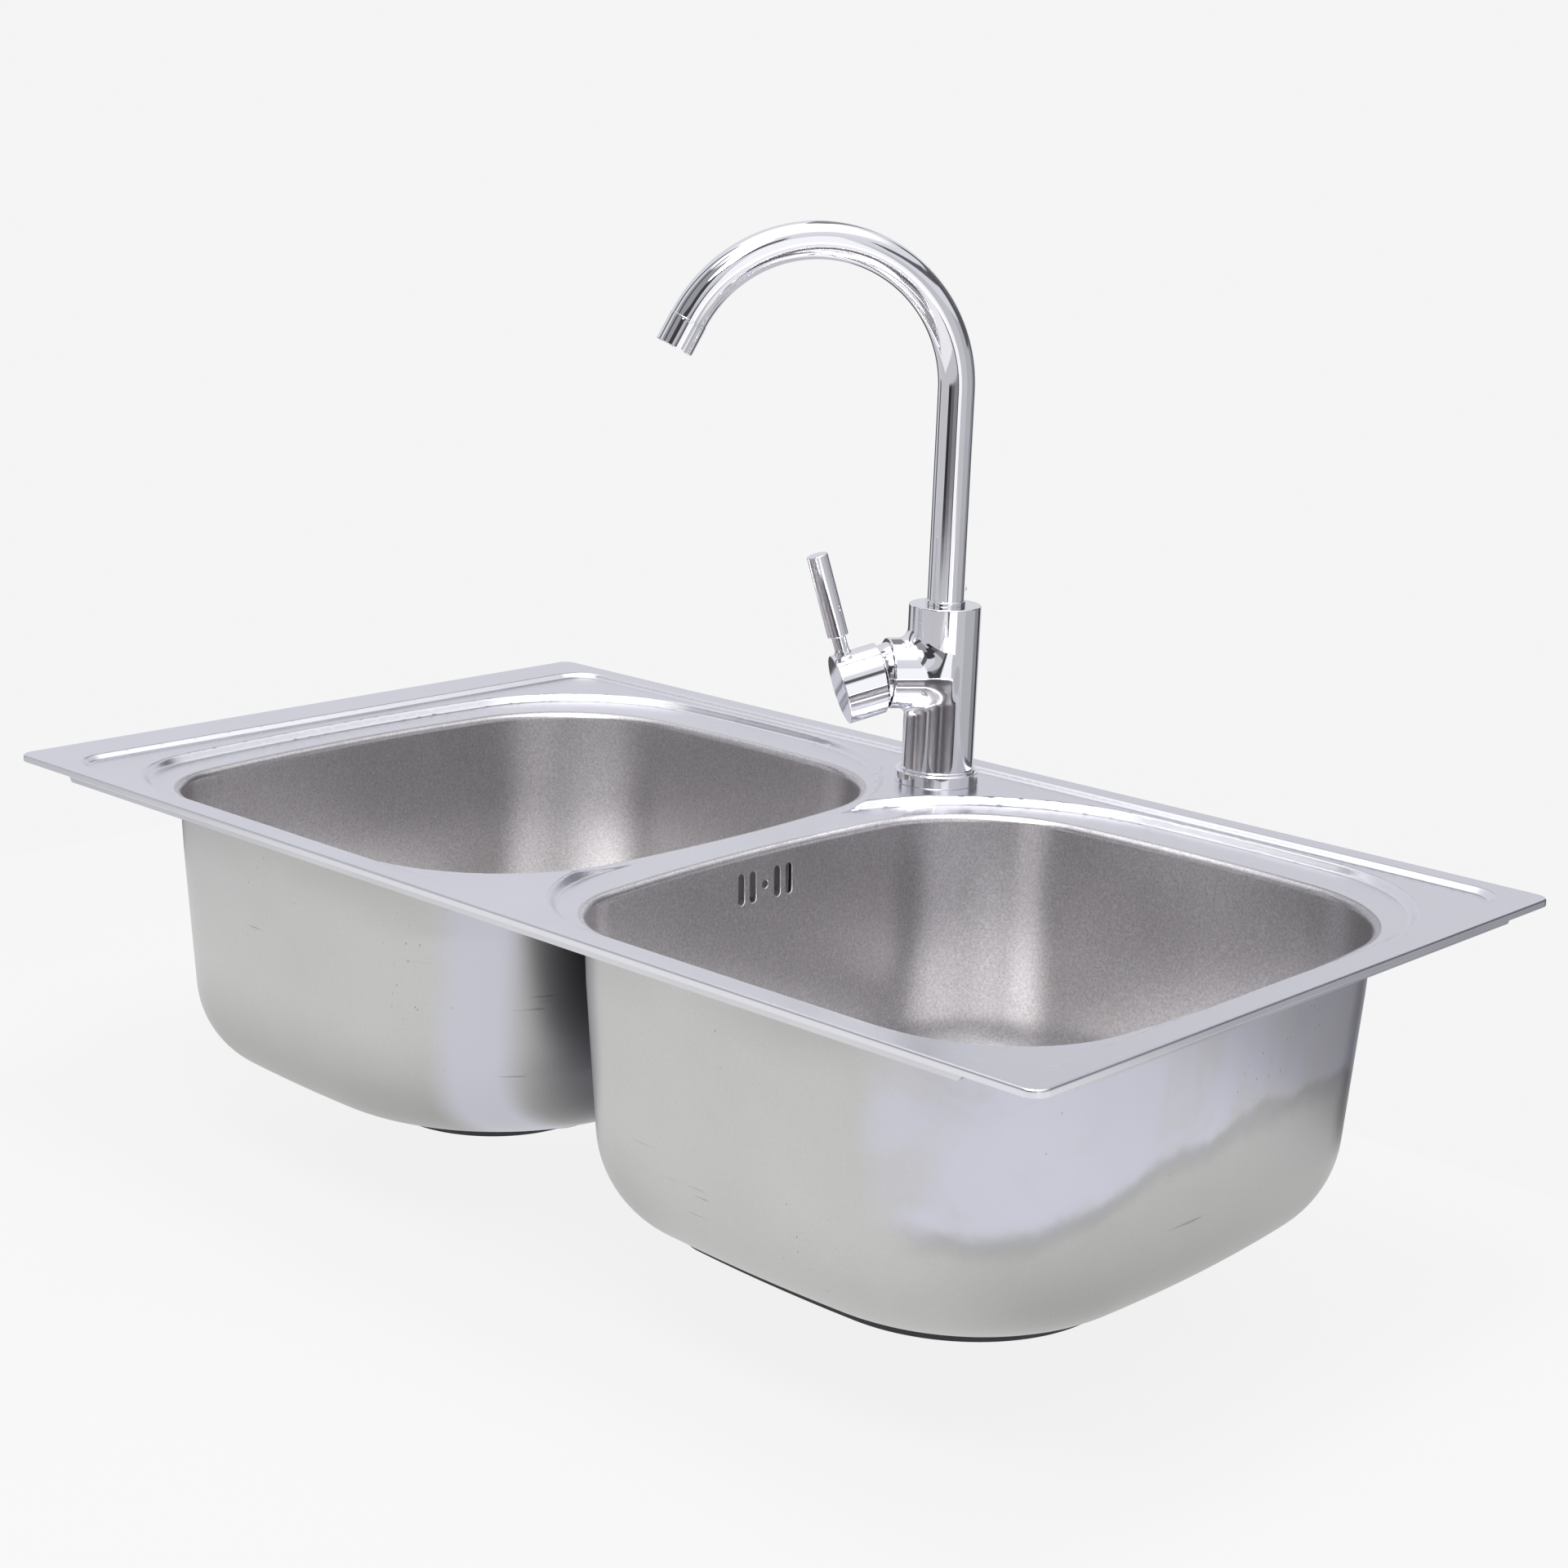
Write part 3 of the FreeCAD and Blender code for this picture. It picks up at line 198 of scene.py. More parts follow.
# ------------------------------------------------------------------ dimensions, mm; seating plane z = 0
TOP, T = 4.5, 1.0
HL, HD = 430.0, 250.0
DECK = TOP - 3.2
RING = TOP - 8.0
FLOOR = TOP - 201.0
RINGL = (-374.0, 8.0, -224.0, 220.0, 1600.0, (66.0, 105.0, 155.0, 115.0))
RINGR = (5.0, 401.5, -224.0, 220.0, 1600.0, (95.0, 85.0, 105.0, 155.0))
BOWLL = (-348.0, -2.0, -218.5, 183.0, 1100.0, (62.0, 115.0, 95.0, 102.0))
BOWLR = (34.0, 396.0, -218.5, 183.0, 1100.0, (68.0, 80.0, 92.0, 95.0))
SX0, SX1, SY0, SY1, SR = -HL + 33.0, HL - 18.0, -HD + 15.4, HD - 14.6, 25.0
W1, W2 = 6.0, 6.8
LIP = 5.0
DRAFT = math.radians(2.9)
GROW_TOP = -44.0
DRAIN_Y = 20.0


def corner(a, b, bow, r):
    rho = bow - r
    ax, ay, bx, by = a - bow, 0.0, 0.0, b - bow
    mx, my = (ax + bx) / 2, (ay + by) / 2
    dx, dy = bx - ax, by - ay
    d = math.hypot(dx, dy)
    h = math.sqrt(rho * rho - d * d / 4)
    cx, cy = mx - dy / d * h, my + dx / d * h
    if cx < 0 or cy < 0:
        cx, cy = mx + dy / d * h, my - dx / d * h
    k = bow / rho
    return (cx, cy), (ax + (cx - ax) * k, ay + (cy - ay) * k), (bx + (cx - bx) * k, by + (cy - by) * k)


class Outline:
    """Closed outline of eight tangent arcs; parallel offsets share arc centres and angles."""

    def __init__(self, spec, side=40, turn=36):
        xa, xb, ya, yb, bow, rr = spec
        self.cx, self.cy = (xa + xb) / 2, (ya + yb) / 2
        self.a, self.b, self.bow, self.rr = (xb - xa) / 2, (yb - ya) / 2, bow, rr
        sg = [(-1, -1), (1, -1), (1, 1), (-1, 1)]
        cs = []
        self.local = []
        for (sx, sy), r in zip(sg, rr):
            q = corner(self.a, self.b, bow, r)
            self.local.append(q)
            cs.append([np.array([self.cx + sx * p[0], self.cy + sy * p[1]]) for p in q])
        sides = [np.array(p) for p in ((self.cx, self.cy - self.b + bow), (self.cx + self.a - bow, self.cy),
                                       (self.cx, self.cy + self.b - bow), (self.cx - self.a + bow, self.cy))]
        seq = [(sides[0], cs[0][2], cs[1][2], side), (cs[1][0], cs[1][2], cs[1][1], turn),
               (sides[1], cs[1][1], cs[2][1], side), (cs[2][0], cs[2][1], cs[2][2], turn),
               (sides[2], cs[2][2], cs[3][2], side), (cs[3][0], cs[3][2], cs[3][1], turn),
               (sides[3], cs[3][1], cs[0][1], side), (cs[0][0], cs[0][1], cs[0][2], turn)]
        C, Rad, Phi, Arc = [], [], [], []
        for k, (c, p, q, n) in enumerate(seq):
            a0, a1 = math.atan2(*(p - c)[::-1]), math.atan2(*(q - c)[::-1])
            d = (a1 - a0 + PI) % (2 * PI) - PI
            rad = float(np.hypot(*(p - c)))
            for i in range(n):
                C.append(c); Rad.append(rad); Phi.append(a0 + d * i / n); Arc.append(k)
        self.C, self.R, self.P, self.arc = np.array(C), np.array(Rad), np.array(Phi), np.array(Arc)
        self.dir = np.stack([np.cos(self.P), np.sin(self.P)], -1)
        self.n = len(self.R)

    def at(self, off):
        return self.C + (self.R + off)[:, None] * self.dir

    def sd(self, X, Y):
        """Signed distance, negative inside."""
        out = np.empty_like(X)
        A, B = (self.a - self.bow, 0.0), (0.0, self.b - self.bow)
        sg = [(-1, -1), (1, -1), (1, 1), (-1, 1)]
        for (sx, sy), r, q in zip(sg, self.rr, self.local):
            m = ((X - self.cx) * sx >= 0) & ((Y - self.cy) * sy >= 0)
            x, y = (X[m] - self.cx) * sx, (Y[m] - self.cy) * sy
            (qx, qy), t1, t2 = q
            dA = np.hypot(x - A[0], y - A[1]) - self.bow
            dB = np.hypot(x - B[0], y - B[1]) - self.bow
            dC = np.hypot(x - qx, y - qy) - r
            a1, a2 = math.atan2(t1[1] - qy, t1[0] - qx), math.atan2(t2[1] - qy, t2[0] - qx)
            ang = np.arctan2(y - qy, x - qx)
            inw = (ang >= a1) & (ang <= a2) & (np.hypot(x - qx, y - qy) > 1e-9)
            res = np.where(inw, dC, np.where(np.abs(dA) < np.abs(dB), dA, dB))
            # deep inside, the nearer side counts
            deep = ~inw
            res = np.where(deep, np.maximum(dA, dB), res)
            out[m] = res
        return out


oRL, oRR = Outline(RINGL, 60, 48), Outline(RINGR, 60, 48)
oBL, oBR = Outline(BOWLL, 44, 40), Outline(BOWLR, 44, 40)
oBL.grow, oBL.rb = (16.0, 50.0, 10.0, 5.0), 63.0
oBR.grow, oBR.rb = (18.0, 65.0, 10.0, 5.0), 66.0
for _o, _s in ((oBL, BOWLL), (oBR, BOWLR)):
    _o.spec = _s


def sd_round(X, Y, x0, x1, y0, y1, r):
    cx, cy = (x0 + x1) / 2, (y0 + y1) / 2
    qx, qy = np.abs(X - cx) - ((x1 - x0) / 2 - r), np.abs(Y - cy) - ((y1 - y0) / 2 - r)
    return np.hypot(np.maximum(qx, 0), np.maximum(qy, 0)) + np.minimum(np.maximum(qx, qy), 0) - r


def sstep(t):
    t = np.clip(t, 0, 1)
    return t * t * (3 - 2 * t)


def height(X, Y):
    d1 = -sd_round(X, Y, SX0, SX1, SY0, SY1, SR)
    a, b = oRL.sd(X, Y), oRR.sd(X, Y)
    k = 5.0
    h = np.clip(0.5 + 0.5 * (b - a) / k, 0, 1)
    d2 = -((b * (1 - h) + a * h) - k * h * (1 - h) - 6.5)
    return TOP - 3.2 * sstep(d1 / W1) - 4.8 * sstep(d2 / W2)


def height_n(X, Y):
    e = 0.05
    gx = (height(X + e, Y) - height(X - e, Y)) / (2 * e)
    gy = (height(X, Y + e) - height(X, Y - e)) / (2 * e)
    n = np.stack([-gx, -gy, np.ones_like(gx)], -1)
    return n / np.linalg.norm(n, axis=1, keepdims=True)


# ------------------------------------------------------------------ materials
def new_mat(name):
    m = bpy.data.materials.new(name)
    m.use_nodes = True
    nt = m.node_tree
    b = nt.nodes["Principled BSDF"]
    return m, nt, b


def nd(nt, kind, **kw):
    n = nt.nodes.new(kind)
    for k, v in kw.items():
        if k in n.inputs:
            n.inputs[k].default_value = v
        else:
            setattr(n, k, v)
    return n


def ramp(nt, a, b, ca, cb, mid=None):
    r = nt.nodes.new("ShaderNodeValToRGB")
    e = r.color_ramp.elements
    e[0].position, e[0].color = a, ca
    e[1].position, e[1].color = b, cb
    if mid:
        x = e.new(mid[0]); x.color = mid[1]
    return r


def steel(name, base, tint, rough, grain=900.0, grain_amt=0.06, bump=0.08, blotch=0.05, specks=0.0, scratch=0.0, dist=0.00004):
    """Satin or pearl-finished stainless sheet: fine grain, slow blotches, optional specks and scratches."""
    m, nt, b = new_mat(name)
    L = nt.links.new
    b.inputs["Metallic"].default_value = 1.0
    tc = nd(nt, "ShaderNodeTexCoord")
    fine = nd(nt, "ShaderNodeTexNoise", Scale=grain, Detail=3.0, Roughness=0.65)
    L(tc.outputs["Object"], fine.inputs["Vector"])
    slow = nd(nt, "ShaderNodeTexNoise", Scale=9.0, Detail=5.0, Roughness=0.55)
    L(tc.outputs["Object"], slow.inputs["Vector"])
    c1 = ramp(nt, 0.30, 0.70, (*[x * (1 - blotch) for x in base], 1), (*[min(1, x * (1 + blotch)) for x in tint], 1))
    L(slow.outputs["Fac"], c1.inputs["Fac"])
    mix = nd(nt, "ShaderNodeMix", data_type="RGBA", blend_type="MULTIPLY")
    mix.inputs[0].default_value = 1.0
    gr = ramp(nt, 0.25, 0.75, (1 - grain_amt, 1 - grain_amt, 1 - grain_amt, 1), (1, 1, 1, 1))
    L(fine.outputs["Fac"], gr.inputs["Fac"])
    L(c1.outputs["Color"], mix.inputs[6])
    L(gr.outputs["Color"], mix.inputs[7])
    col = mix.outputs[2]
    if specks > 0:
        vo = nd(nt, "ShaderNodeTexVoronoi", Scale=95.0, Randomness=1.0)
        L(tc.outputs["Object"], vo.inputs["Vector"])
        sp = ramp(nt, 0.0, 0.055, (0, 0, 0, 1), (1, 1, 1, 1))
        L(vo.outputs["Distance"], sp.inputs["Fac"])
        pick = nd(nt, "ShaderNodeTexNoise", Scale=14.0, Detail=2.0)
        L(tc.outputs["Object"], pick.inputs["Vector"])
        pk = ramp(nt, 0.60, 0.68, (1, 1, 1, 1), (0, 0, 0, 1))
        L(pick.outputs["Fac"], pk.inputs["Fac"])
        mx = nd(nt, "ShaderNodeMath", operation="MAXIMUM")
        L(sp.outputs["Color"], mx.inputs[0]); L(pk.outputs["Color"], mx.inputs[1])
        m2 = nd(nt, "ShaderNodeMix", data_type="RGBA", blend_type="MIX")
        L(mx.outputs[0], m2.inputs[0])
        dark = nd(nt, "ShaderNodeMix", data_type="RGBA", blend_type="MULTIPLY")
        dark.inputs[0].default_value = 1.0
        dark.inputs[7].default_value = (1 - specks, 1 - specks, 1 - specks, 1)
        L(col, dark.inputs[6])
        L(dark.outputs[2], m2.inputs[6]); L(col, m2.inputs[7])
        col = m2.outputs[2]
    L(col, b.inputs["Base Color"])
    rr = nd(nt, "ShaderNodeMapRange")
    rr.inputs["From Min"].default_value = 0.3
    rr.inputs["From Max"].default_value = 0.7
    rr.inputs["To Min"].default_value = rough - 0.03
    rr.inputs["To Max"].default_value = rough + 0.03
    L(slow.outputs["Fac"], rr.inputs["Value"])
    L(rr.outputs["Result"], b.inputs["Roughness"])
    bp = nd(nt, "ShaderNodeBump")
    bp.inputs["Strength"].default_value = bump
    bp.inputs["Distance"].default_value = dist
    hgt = fine.outputs["Fac"]
    if scratch > 0:
        mp = nd(nt, "ShaderNodeMapping")
        mp.inputs["Scale"].default_value = (3.0, 70.0, 70.0)
        mp.inputs["Rotation"].default_value = (0.2, 0.3, 0.5)
        L(tc.outputs["Object"], mp.inputs["Vector"])
        sc = nd(nt, "ShaderNodeTexNoise", Scale=6.0, Detail=3.0)
        L(mp.outputs["Vector"], sc.inputs["Vector"])
        add = nd(nt, "ShaderNodeMath", operation="MULTIPLY_ADD")
        add.inputs[1].default_value = scratch
        L(sc.outputs["Fac"], add.inputs[0]); L(hgt, add.inputs[2])
        hgt = add.outputs[0]
    L(hgt, bp.inputs["Height"])
    L(bp.outputs["Normal"], b.inputs["Normal"])
    return m


def chrome(name, base=(0.88, 0.88, 0.91), rough=0.035):
    m, nt, b = new_mat(name)
    L = nt.links.new
    b.inputs["Metallic"].default_value = 1.0
    tc = nd(nt, "ShaderNodeTexCoord")
    n1 = nd(nt, "ShaderNodeTexNoise", Scale=38.0, Detail=6.0, Roughness=0.6)
    L(tc.outputs["Object"], n1.inputs["Vector"])
    cr = ramp(nt, 0.35, 0.65, (*[x * 0.975 for x in base], 1), (*base, 1))
    L(n1.outputs["Fac"], cr.inputs["Fac"])
    L(cr.outputs["Color"], b.inputs["Base Color"])
    rr = nd(nt, "ShaderNodeMapRange")
    rr.inputs["From Min"].default_value = 0.35
    rr.inputs["From Max"].default_value = 0.7
    rr.inputs["To Min"].default_value = rough
    rr.inputs["To Max"].default_value = rough + 0.03
    L(n1.outputs["Fac"], rr.inputs["Value"])
    L(rr.outputs["Result"], b.inputs["Roughness"])
    n2 = nd(nt, "ShaderNodeTexNoise", Scale=60.0, Detail=2.0)
    L(tc.outputs["Object"], n2.inputs["Vector"])
    bp = nd(nt, "ShaderNodeBump")
    bp.inputs["Strength"].default_value = 0.04
    bp.inputs["Distance"].default_value = 0.0002
    L(n2.outputs["Fac"], bp.inputs["Height"])
    L(bp.outputs["Normal"], b.inputs["Normal"])
    return m


def dull(name, base, rough, scale=350.0, amt=0.25, bump=0.3, dist=0.0001, metallic=0.0):
    """Rubber, foam and moulded plastic: mottled colour, fine pitted surface."""
    m, nt, b = new_mat(name)
    L = nt.links.new
    b.inputs["Metallic"].default_value = metallic
    tc = nd(nt, "ShaderNodeTexCoord")
    n1 = nd(nt, "ShaderNodeTexNoise", Scale=scale, Detail=4.0, Roughness=0.6)
    L(tc.outputs["Object"], n1.inputs["Vector"])
    cr = ramp(nt, 0.3, 0.7, (*[x * (1 - amt) for x in base], 1), (*[min(1, x * (1 + amt)) for x in base], 1))
    L(n1.outputs["Fac"], cr.inputs["Fac"])
    L(cr.outputs["Color"], b.inputs["Base Color"])
    rr = nd(nt, "ShaderNodeMapRange")
    rr.inputs["To Min"].default_value = rough - 0.06
    rr.inputs["To Max"].default_value = rough + 0.06
    L(n1.outputs["Fac"], rr.inputs["Value"])
    L(rr.outputs["Result"], b.inputs["Roughness"])
    bp = nd(nt, "ShaderNodeBump")
    bp.inputs["Strength"].default_value = bump
    bp.inputs["Distance"].default_value = dist
    L(n1.outputs["Fac"], bp.inputs["Height"])
    L(bp.outputs["Normal"], b.inputs["Normal"])
    return m


def smooth(nt, src, a, b):
    """0 below a, 1 above b (or the other way round when a > b)."""
    r = nd(nt, "ShaderNodeMapRange", interpolation_type="SMOOTHSTEP")
    lo, hi = min(a, b), max(a, b)
    r.inputs["From Min"].default_value = lo
    r.inputs["From Max"].default_value = hi
    r.inputs["To Min"].default_value = 0.0 if a < b else 1.0
    r.inputs["To Max"].default_value = 1.0 if a < b else 0.0
    nt.links.new(src, r.inputs["Value"])
    return r.outputs["Result"]


def calc(nt, op, a, b=None, c=None):
    n = nd(nt, "ShaderNodeMath", operation=op)
    for k, v in enumerate((a, b, c)):
        if v is None:
            continue
        if isinstance(v, (int, float)):
            n.inputs[k].default_value = v
        else:
            nt.links.new(v, n.inputs[k])
    return n.outputs[0]


def tone(nt, col, fac, tint, blend="MIX"):
    m = nd(nt, "ShaderNodeMix", data_type="RGBA", blend_type=blend)
    nt.links.new(fac, m.inputs[0])
    nt.links.new(col, m.inputs[6])
    m.inputs[7].default_value = (*tint, 1)
    return m.outputs[2]


def outside(m):
    """Press marks, painted sheen patches, specks, and painted shade on the lower walls, under the rim and on the gap
    sides of the drawn bowls.
    """
    nt = m.node_tree
    b = nt.nodes["Principled BSDF"]
    L = nt.links.new
    col = b.inputs["Base Color"].links[0].from_socket
    tc = nd(nt, "ShaderNodeTexCoord")
    sp = nd(nt, "ShaderNodeSeparateXYZ")
    L(tc.outputs["Object"], sp.inputs[0])
    x, y, z = sp.outputs
    wob = nd(nt, "ShaderNodeTexNoise", Scale=16.0, Detail=3.0, Roughness=0.5)
    L(tc.outputs["Object"], wob.inputs["Vector"])
    w = calc(nt, "SUBTRACT", wob.outputs["Fac"], 0.5)
    soft = nd(nt, "ShaderNodeTexNoise", Scale=5.0, Detail=2.0)
    L(tc.outputs["Object"], soft.inputs["Vector"])
    # painted shade: the lower walls and the turn into the floor are darkened, less across the middle of the right bowl
    mid = calc(nt, "MULTIPLY", smooth(nt, x, 0.08, 0.16), smooth(nt, x, 0.40, 0.33))
    col = tone(nt, col, calc(nt, "MULTIPLY", smooth(nt, z, -0.105, -0.195), calc(nt, "MULTIPLY_ADD", mid, -0.6, 1.0)), (0.60, 0.60, 0.595), "MULTIPLY")
    # painted shade: the lower right wall of the right bowl is darkened
    right = calc(nt, "MULTIPLY", smooth(nt, x, 0.30, 0.38), smooth(nt, z, -0.06, -0.12))
    col = tone(nt, col, right, (0.84, 0.84, 0.84), "MULTIPLY")
    # painted shadow under the rim: the upper walls are darkened in soft patches
    up = calc(nt, "MULTIPLY", smooth(nt, z, -0.05, -0.012), smooth(nt, soft.outputs["Fac"], 0.35, 0.6))
    col = tone(nt, col, calc(nt, "MULTIPLY", up, 0.5), (0.74, 0.74, 0.72), "MULTIPLY")
    # painted reflection: a lighter lavender sheen patch with a wavy lower border, front right corner and right wall of
    # the right bowl
    s_ = calc(nt, "ADD", calc(nt, "ADD", x, y), 0.2185)
    fc = nd(nt, "ShaderNodeFloatCurve")
    cu = fc.mapping.curves[0]
    pts = [(0.0, 0.50), (0.10, 0.62), (0.22, 0.62), (0.36, 0.55), (0.50, 0.49), (0.66, 0.46), (0.84, 0.43), (1.0, 0.49)]
    cu.points[0].location, cu.points[1].location = pts[0], pts[-1]
    for q in pts[1:-1]:
        cu.points.new(*q)
    fc.mapping.update()
    mr = nd(nt, "ShaderNodeMapRange")
    mr.inputs["From Min"].default_value = 0.29
    mr.inputs["From Max"].default_value = 0.70
    L(s_, mr.inputs["Value"])
    L(mr.outputs["Result"], fc.inputs["Value"])
    zl = calc(nt, "MULTIPLY", fc.outputs[0], -0.185)
    over = calc(nt, "SUBTRACT", calc(nt, "ADD", z, calc(nt, "MULTIPLY", w, 0.045)), zl)
    painted_sheen = calc(nt, "MULTIPLY", smooth(nt, over, -0.010, 0.012), smooth(nt, calc(nt, "ADD", x, calc(nt, "MULTIPLY", w, 0.07)), 0.288, 0.325))
    painted_sheen = calc(nt, "MULTIPLY", painted_sheen, smooth(nt, y, 0.17, 0.12))
    body = nd(nt, "ShaderNodeTexNoise", Scale=11.0, Detail=4.0, Roughness=0.55, Distortion=1.2)
    L(tc.outputs["Object"], body.inputs["Vector"])
    painted_sheen = calc(nt, "MULTIPLY", painted_sheen, calc(nt, "MULTIPLY_ADD", smooth(nt, body.outputs["Fac"], 0.38, 0.60), 0.55, 0.40))
    col = tone(nt, col, painted_sheen, (0.645, 0.645, 0.745))
    # painted shade: a dark band along the lower border of the sheen patch
    edge = calc(nt, "MULTIPLY", smooth(nt, over, -0.016, -0.002), smooth(nt, over, 0.006, -0.002))
    edge = calc(nt, "MULTIPLY", edge, calc(nt, "MULTIPLY", smooth(nt, x, 0.30, 0.34), smooth(nt, y, 0.17, 0.12)))
    col = tone(nt, col, calc(nt, "MULTIPLY", edge, 0.45), (0.62, 0.62, 0.63), "MULTIPLY")
    # painted reflection: a bright strip, then painted shade on the gap side of the left bowl
    xs = calc(nt, "ADD", calc(nt, "MULTIPLY_ADD", z, -0.15, -0.011), calc(nt, "ADD", x, calc(nt, "MULTIPLY", w, 0.006)))
    strip = calc(nt, "MULTIPLY", smooth(nt, xs, -0.072, -0.050), smooth(nt, xs, -0.022, -0.036))
    strip = calc(nt, "MULTIPLY", strip, smooth(nt, y, -0.05, -0.11))
    col = tone(nt, col, calc(nt, "MULTIPLY", strip, 0.8), (0.61, 0.61, 0.70))
    painted_gap_shade = calc(nt, "MULTIPLY", smooth(nt, xs, -0.036, -0.004), smooth(nt, x, 0.015, 0.005))
    col = tone(nt, col, painted_gap_shade, (0.26, 0.255, 0.29), "MULTIPLY")
    # painted shade on the right bowl's wall facing the gap
    painted_gap_shade2 = calc(nt, "MULTIPLY", smooth(nt, x, 0.095, 0.045), smooth(nt, x, 0.008, 0.018))
    col = tone(nt, col, painted_gap_shade2, (0.30, 0.295, 0.32), "MULTIPLY")
    # specks: fine dark pits in loose runs
    mp = nd(nt, "ShaderNodeMapping")
    mp.inputs["Scale"].default_value = (1.0, 1.0, 0.55)
    L(tc.outputs["Object"], mp.inputs["Vector"])
    vo = nd(nt, "ShaderNodeTexVoronoi", Scale=190.0, Randomness=1.0)
    L(mp.outputs["Vector"], vo.inputs["Vector"])
    pk = nd(nt, "ShaderNodeTexNoise", Scale=13.0, Detail=2.0)
    L(mp.outputs["Vector"], pk.inputs["Vector"])
    dots = calc(nt, "MULTIPLY", smooth(nt, vo.outputs["Distance"], 0.12, 0.04), smooth(nt, pk.outputs["Fac"], 0.585, 0.64))
    col = tone(nt, col, calc(nt, "MULTIPLY", dots, 0.7), (0.34, 0.34, 0.34), "MULTIPLY")
    # short rubbed lines
    mp2 = nd(nt, "ShaderNodeMapping")
    mp2.inputs["Scale"].default_value = (7.0, 7.0, 260.0)
    mp2.inputs["Rotation"].default_value = (0.05, -0.32, 0.0)
    L(tc.outputs["Object"], mp2.inputs["Vector"])
    ln = nd(nt, "ShaderNodeTexNoise", Scale=2.0, Detail=1.0)
    L(mp2.outputs["Vector"], ln.inputs["Vector"])
    pk2 = nd(nt, "ShaderNodeTexNoise", Scale=19.0, Detail=1.0)
    L(tc.outputs["Object"], pk2.inputs["Vector"])
    rub = calc(nt, "MULTIPLY", smooth(nt, ln.outputs["Fac"], 0.66, 0.74), smooth(nt, pk2.outputs["Fac"], 0.64, 0.70))
    col = tone(nt, col, calc(nt, "MULTIPLY", rub, 0.6), (0.35, 0.35, 0.36), "MULTIPLY")
    L(col, b.inputs["Base Color"])
    return m


def inside(m):
    """Pearl finish inside the bowls, with painted shade: greyer towards the mouth, darker on the right of the right
    bowl and on the upper left bowl.
    """
    nt = m.node_tree
    b = nt.nodes["Principled BSDF"]
    col = b.inputs["Base Color"].links[0].from_socket
    tc = nd(nt, "ShaderNodeTexCoord")
    sp = nd(nt, "ShaderNodeSeparateXYZ")
    nt.links.new(tc.outputs["Object"], sp.inputs[0])
    x, y, z = sp.outputs
    # painted shade: the upper walls a little greyer
    up = smooth(nt, z, -0.105, -0.06)
    col = tone(nt, col, up, (0.95, 0.95, 0.96), "MULTIPLY")
    # painted shade: the right part of the right bowl darkened
    col = tone(nt, col, smooth(nt, x, 0.20, 0.36), (0.64, 0.64, 0.655), "MULTIPLY")
    # painted shade: the upper walls of the left bowl darkened
    left = calc(nt, "MULTIPLY", smooth(nt, x, 0.02, -0.02), up)
    col = tone(nt, col, left, (0.85, 0.85, 0.85), "MULTIPLY")
    gr = nd(nt, "ShaderNodeTexNoise", Scale=820.0, Detail=1.0, Roughness=0.6)
    nt.links.new(tc.outputs["Object"], gr.inputs["Vector"])
    col = tone(nt, col, smooth(nt, gr.outputs["Fac"], 0.60, 0.40), (0.86, 0.86, 0.86), "MULTIPLY")
    nt.links.new(col, b.inputs["Base Color"])
    return m


M_DECK = steel("deck_satin", (0.79, 0.79, 0.835), (0.805, 0.805, 0.85), 0.24, grain=1500, grain_amt=0.03, bump=0.03, blotch=0.01, scratch=0.02)
M_IN = inside(steel("bowl_pearl", (0.93, 0.91, 0.915), (0.95, 0.93, 0.935), 0.33, grain=520, grain_amt=0.30, bump=0.30, blotch=0.015))
M_OUT = outside(steel("bowl_outside", (0.605, 0.607, 0.595), (0.62, 0.622, 0.61), 0.34, grain=700, grain_amt=0.07, bump=0.10, blotch=0.03, scratch=0.1))
M_RAIL = steel("rail_satin", (0.70, 0.70, 0.73), (0.74, 0.74, 0.77), 0.30, grain=1100, grain_amt=0.05, bump=0.08)
M_STR = steel("strainer_polished", (0.74, 0.74, 0.76), (0.78, 0.78, 0.80), 0.16, grain=600, grain_amt=0.03, bump=0.04)
M_CHROME = chrome("chrome")
M_BRASS = steel("brass_turned", (0.70, 0.55, 0.28), (0.76, 0.61, 0.33), 0.26, grain=500, grain_amt=0.08, bump=0.1)
M_RUB = dull("rubber_black", (0.028, 0.027, 0.034), 0.62)
M_FOAM = dull("foam_grey", (0.10, 0.10, 0.11), 0.85, scale=900, bump=0.6)
M_WASTE = dull("waste_plastic", (0.62, 0.62, 0.60), 0.42, scale=220, amt=0.04, bump=0.08)
M_CART = dull("cartridge_plastic", (0.74, 0.74, 0.72), 0.38, scale=260, amt=0.04, bump=0.06)
SLOT_MAT = {"deck_steel": M_RAIL, "bowl_steel": M_OUT, "rubber_black": M_RUB, "foam_grey": M_FOAM, "strainer_steel": M_STR,
            "waste_plastic": M_WASTE, "chrome": M_CHROME, "brass": M_BRASS, "cartridge_plastic": M_CART}
for sp in frame["record"]["subparts"]:
    o = NODE[sp["node"]]
    o.data.materials.clear()
    o.data.materials.append(SLOT_MAT[sp["material_slot"]])


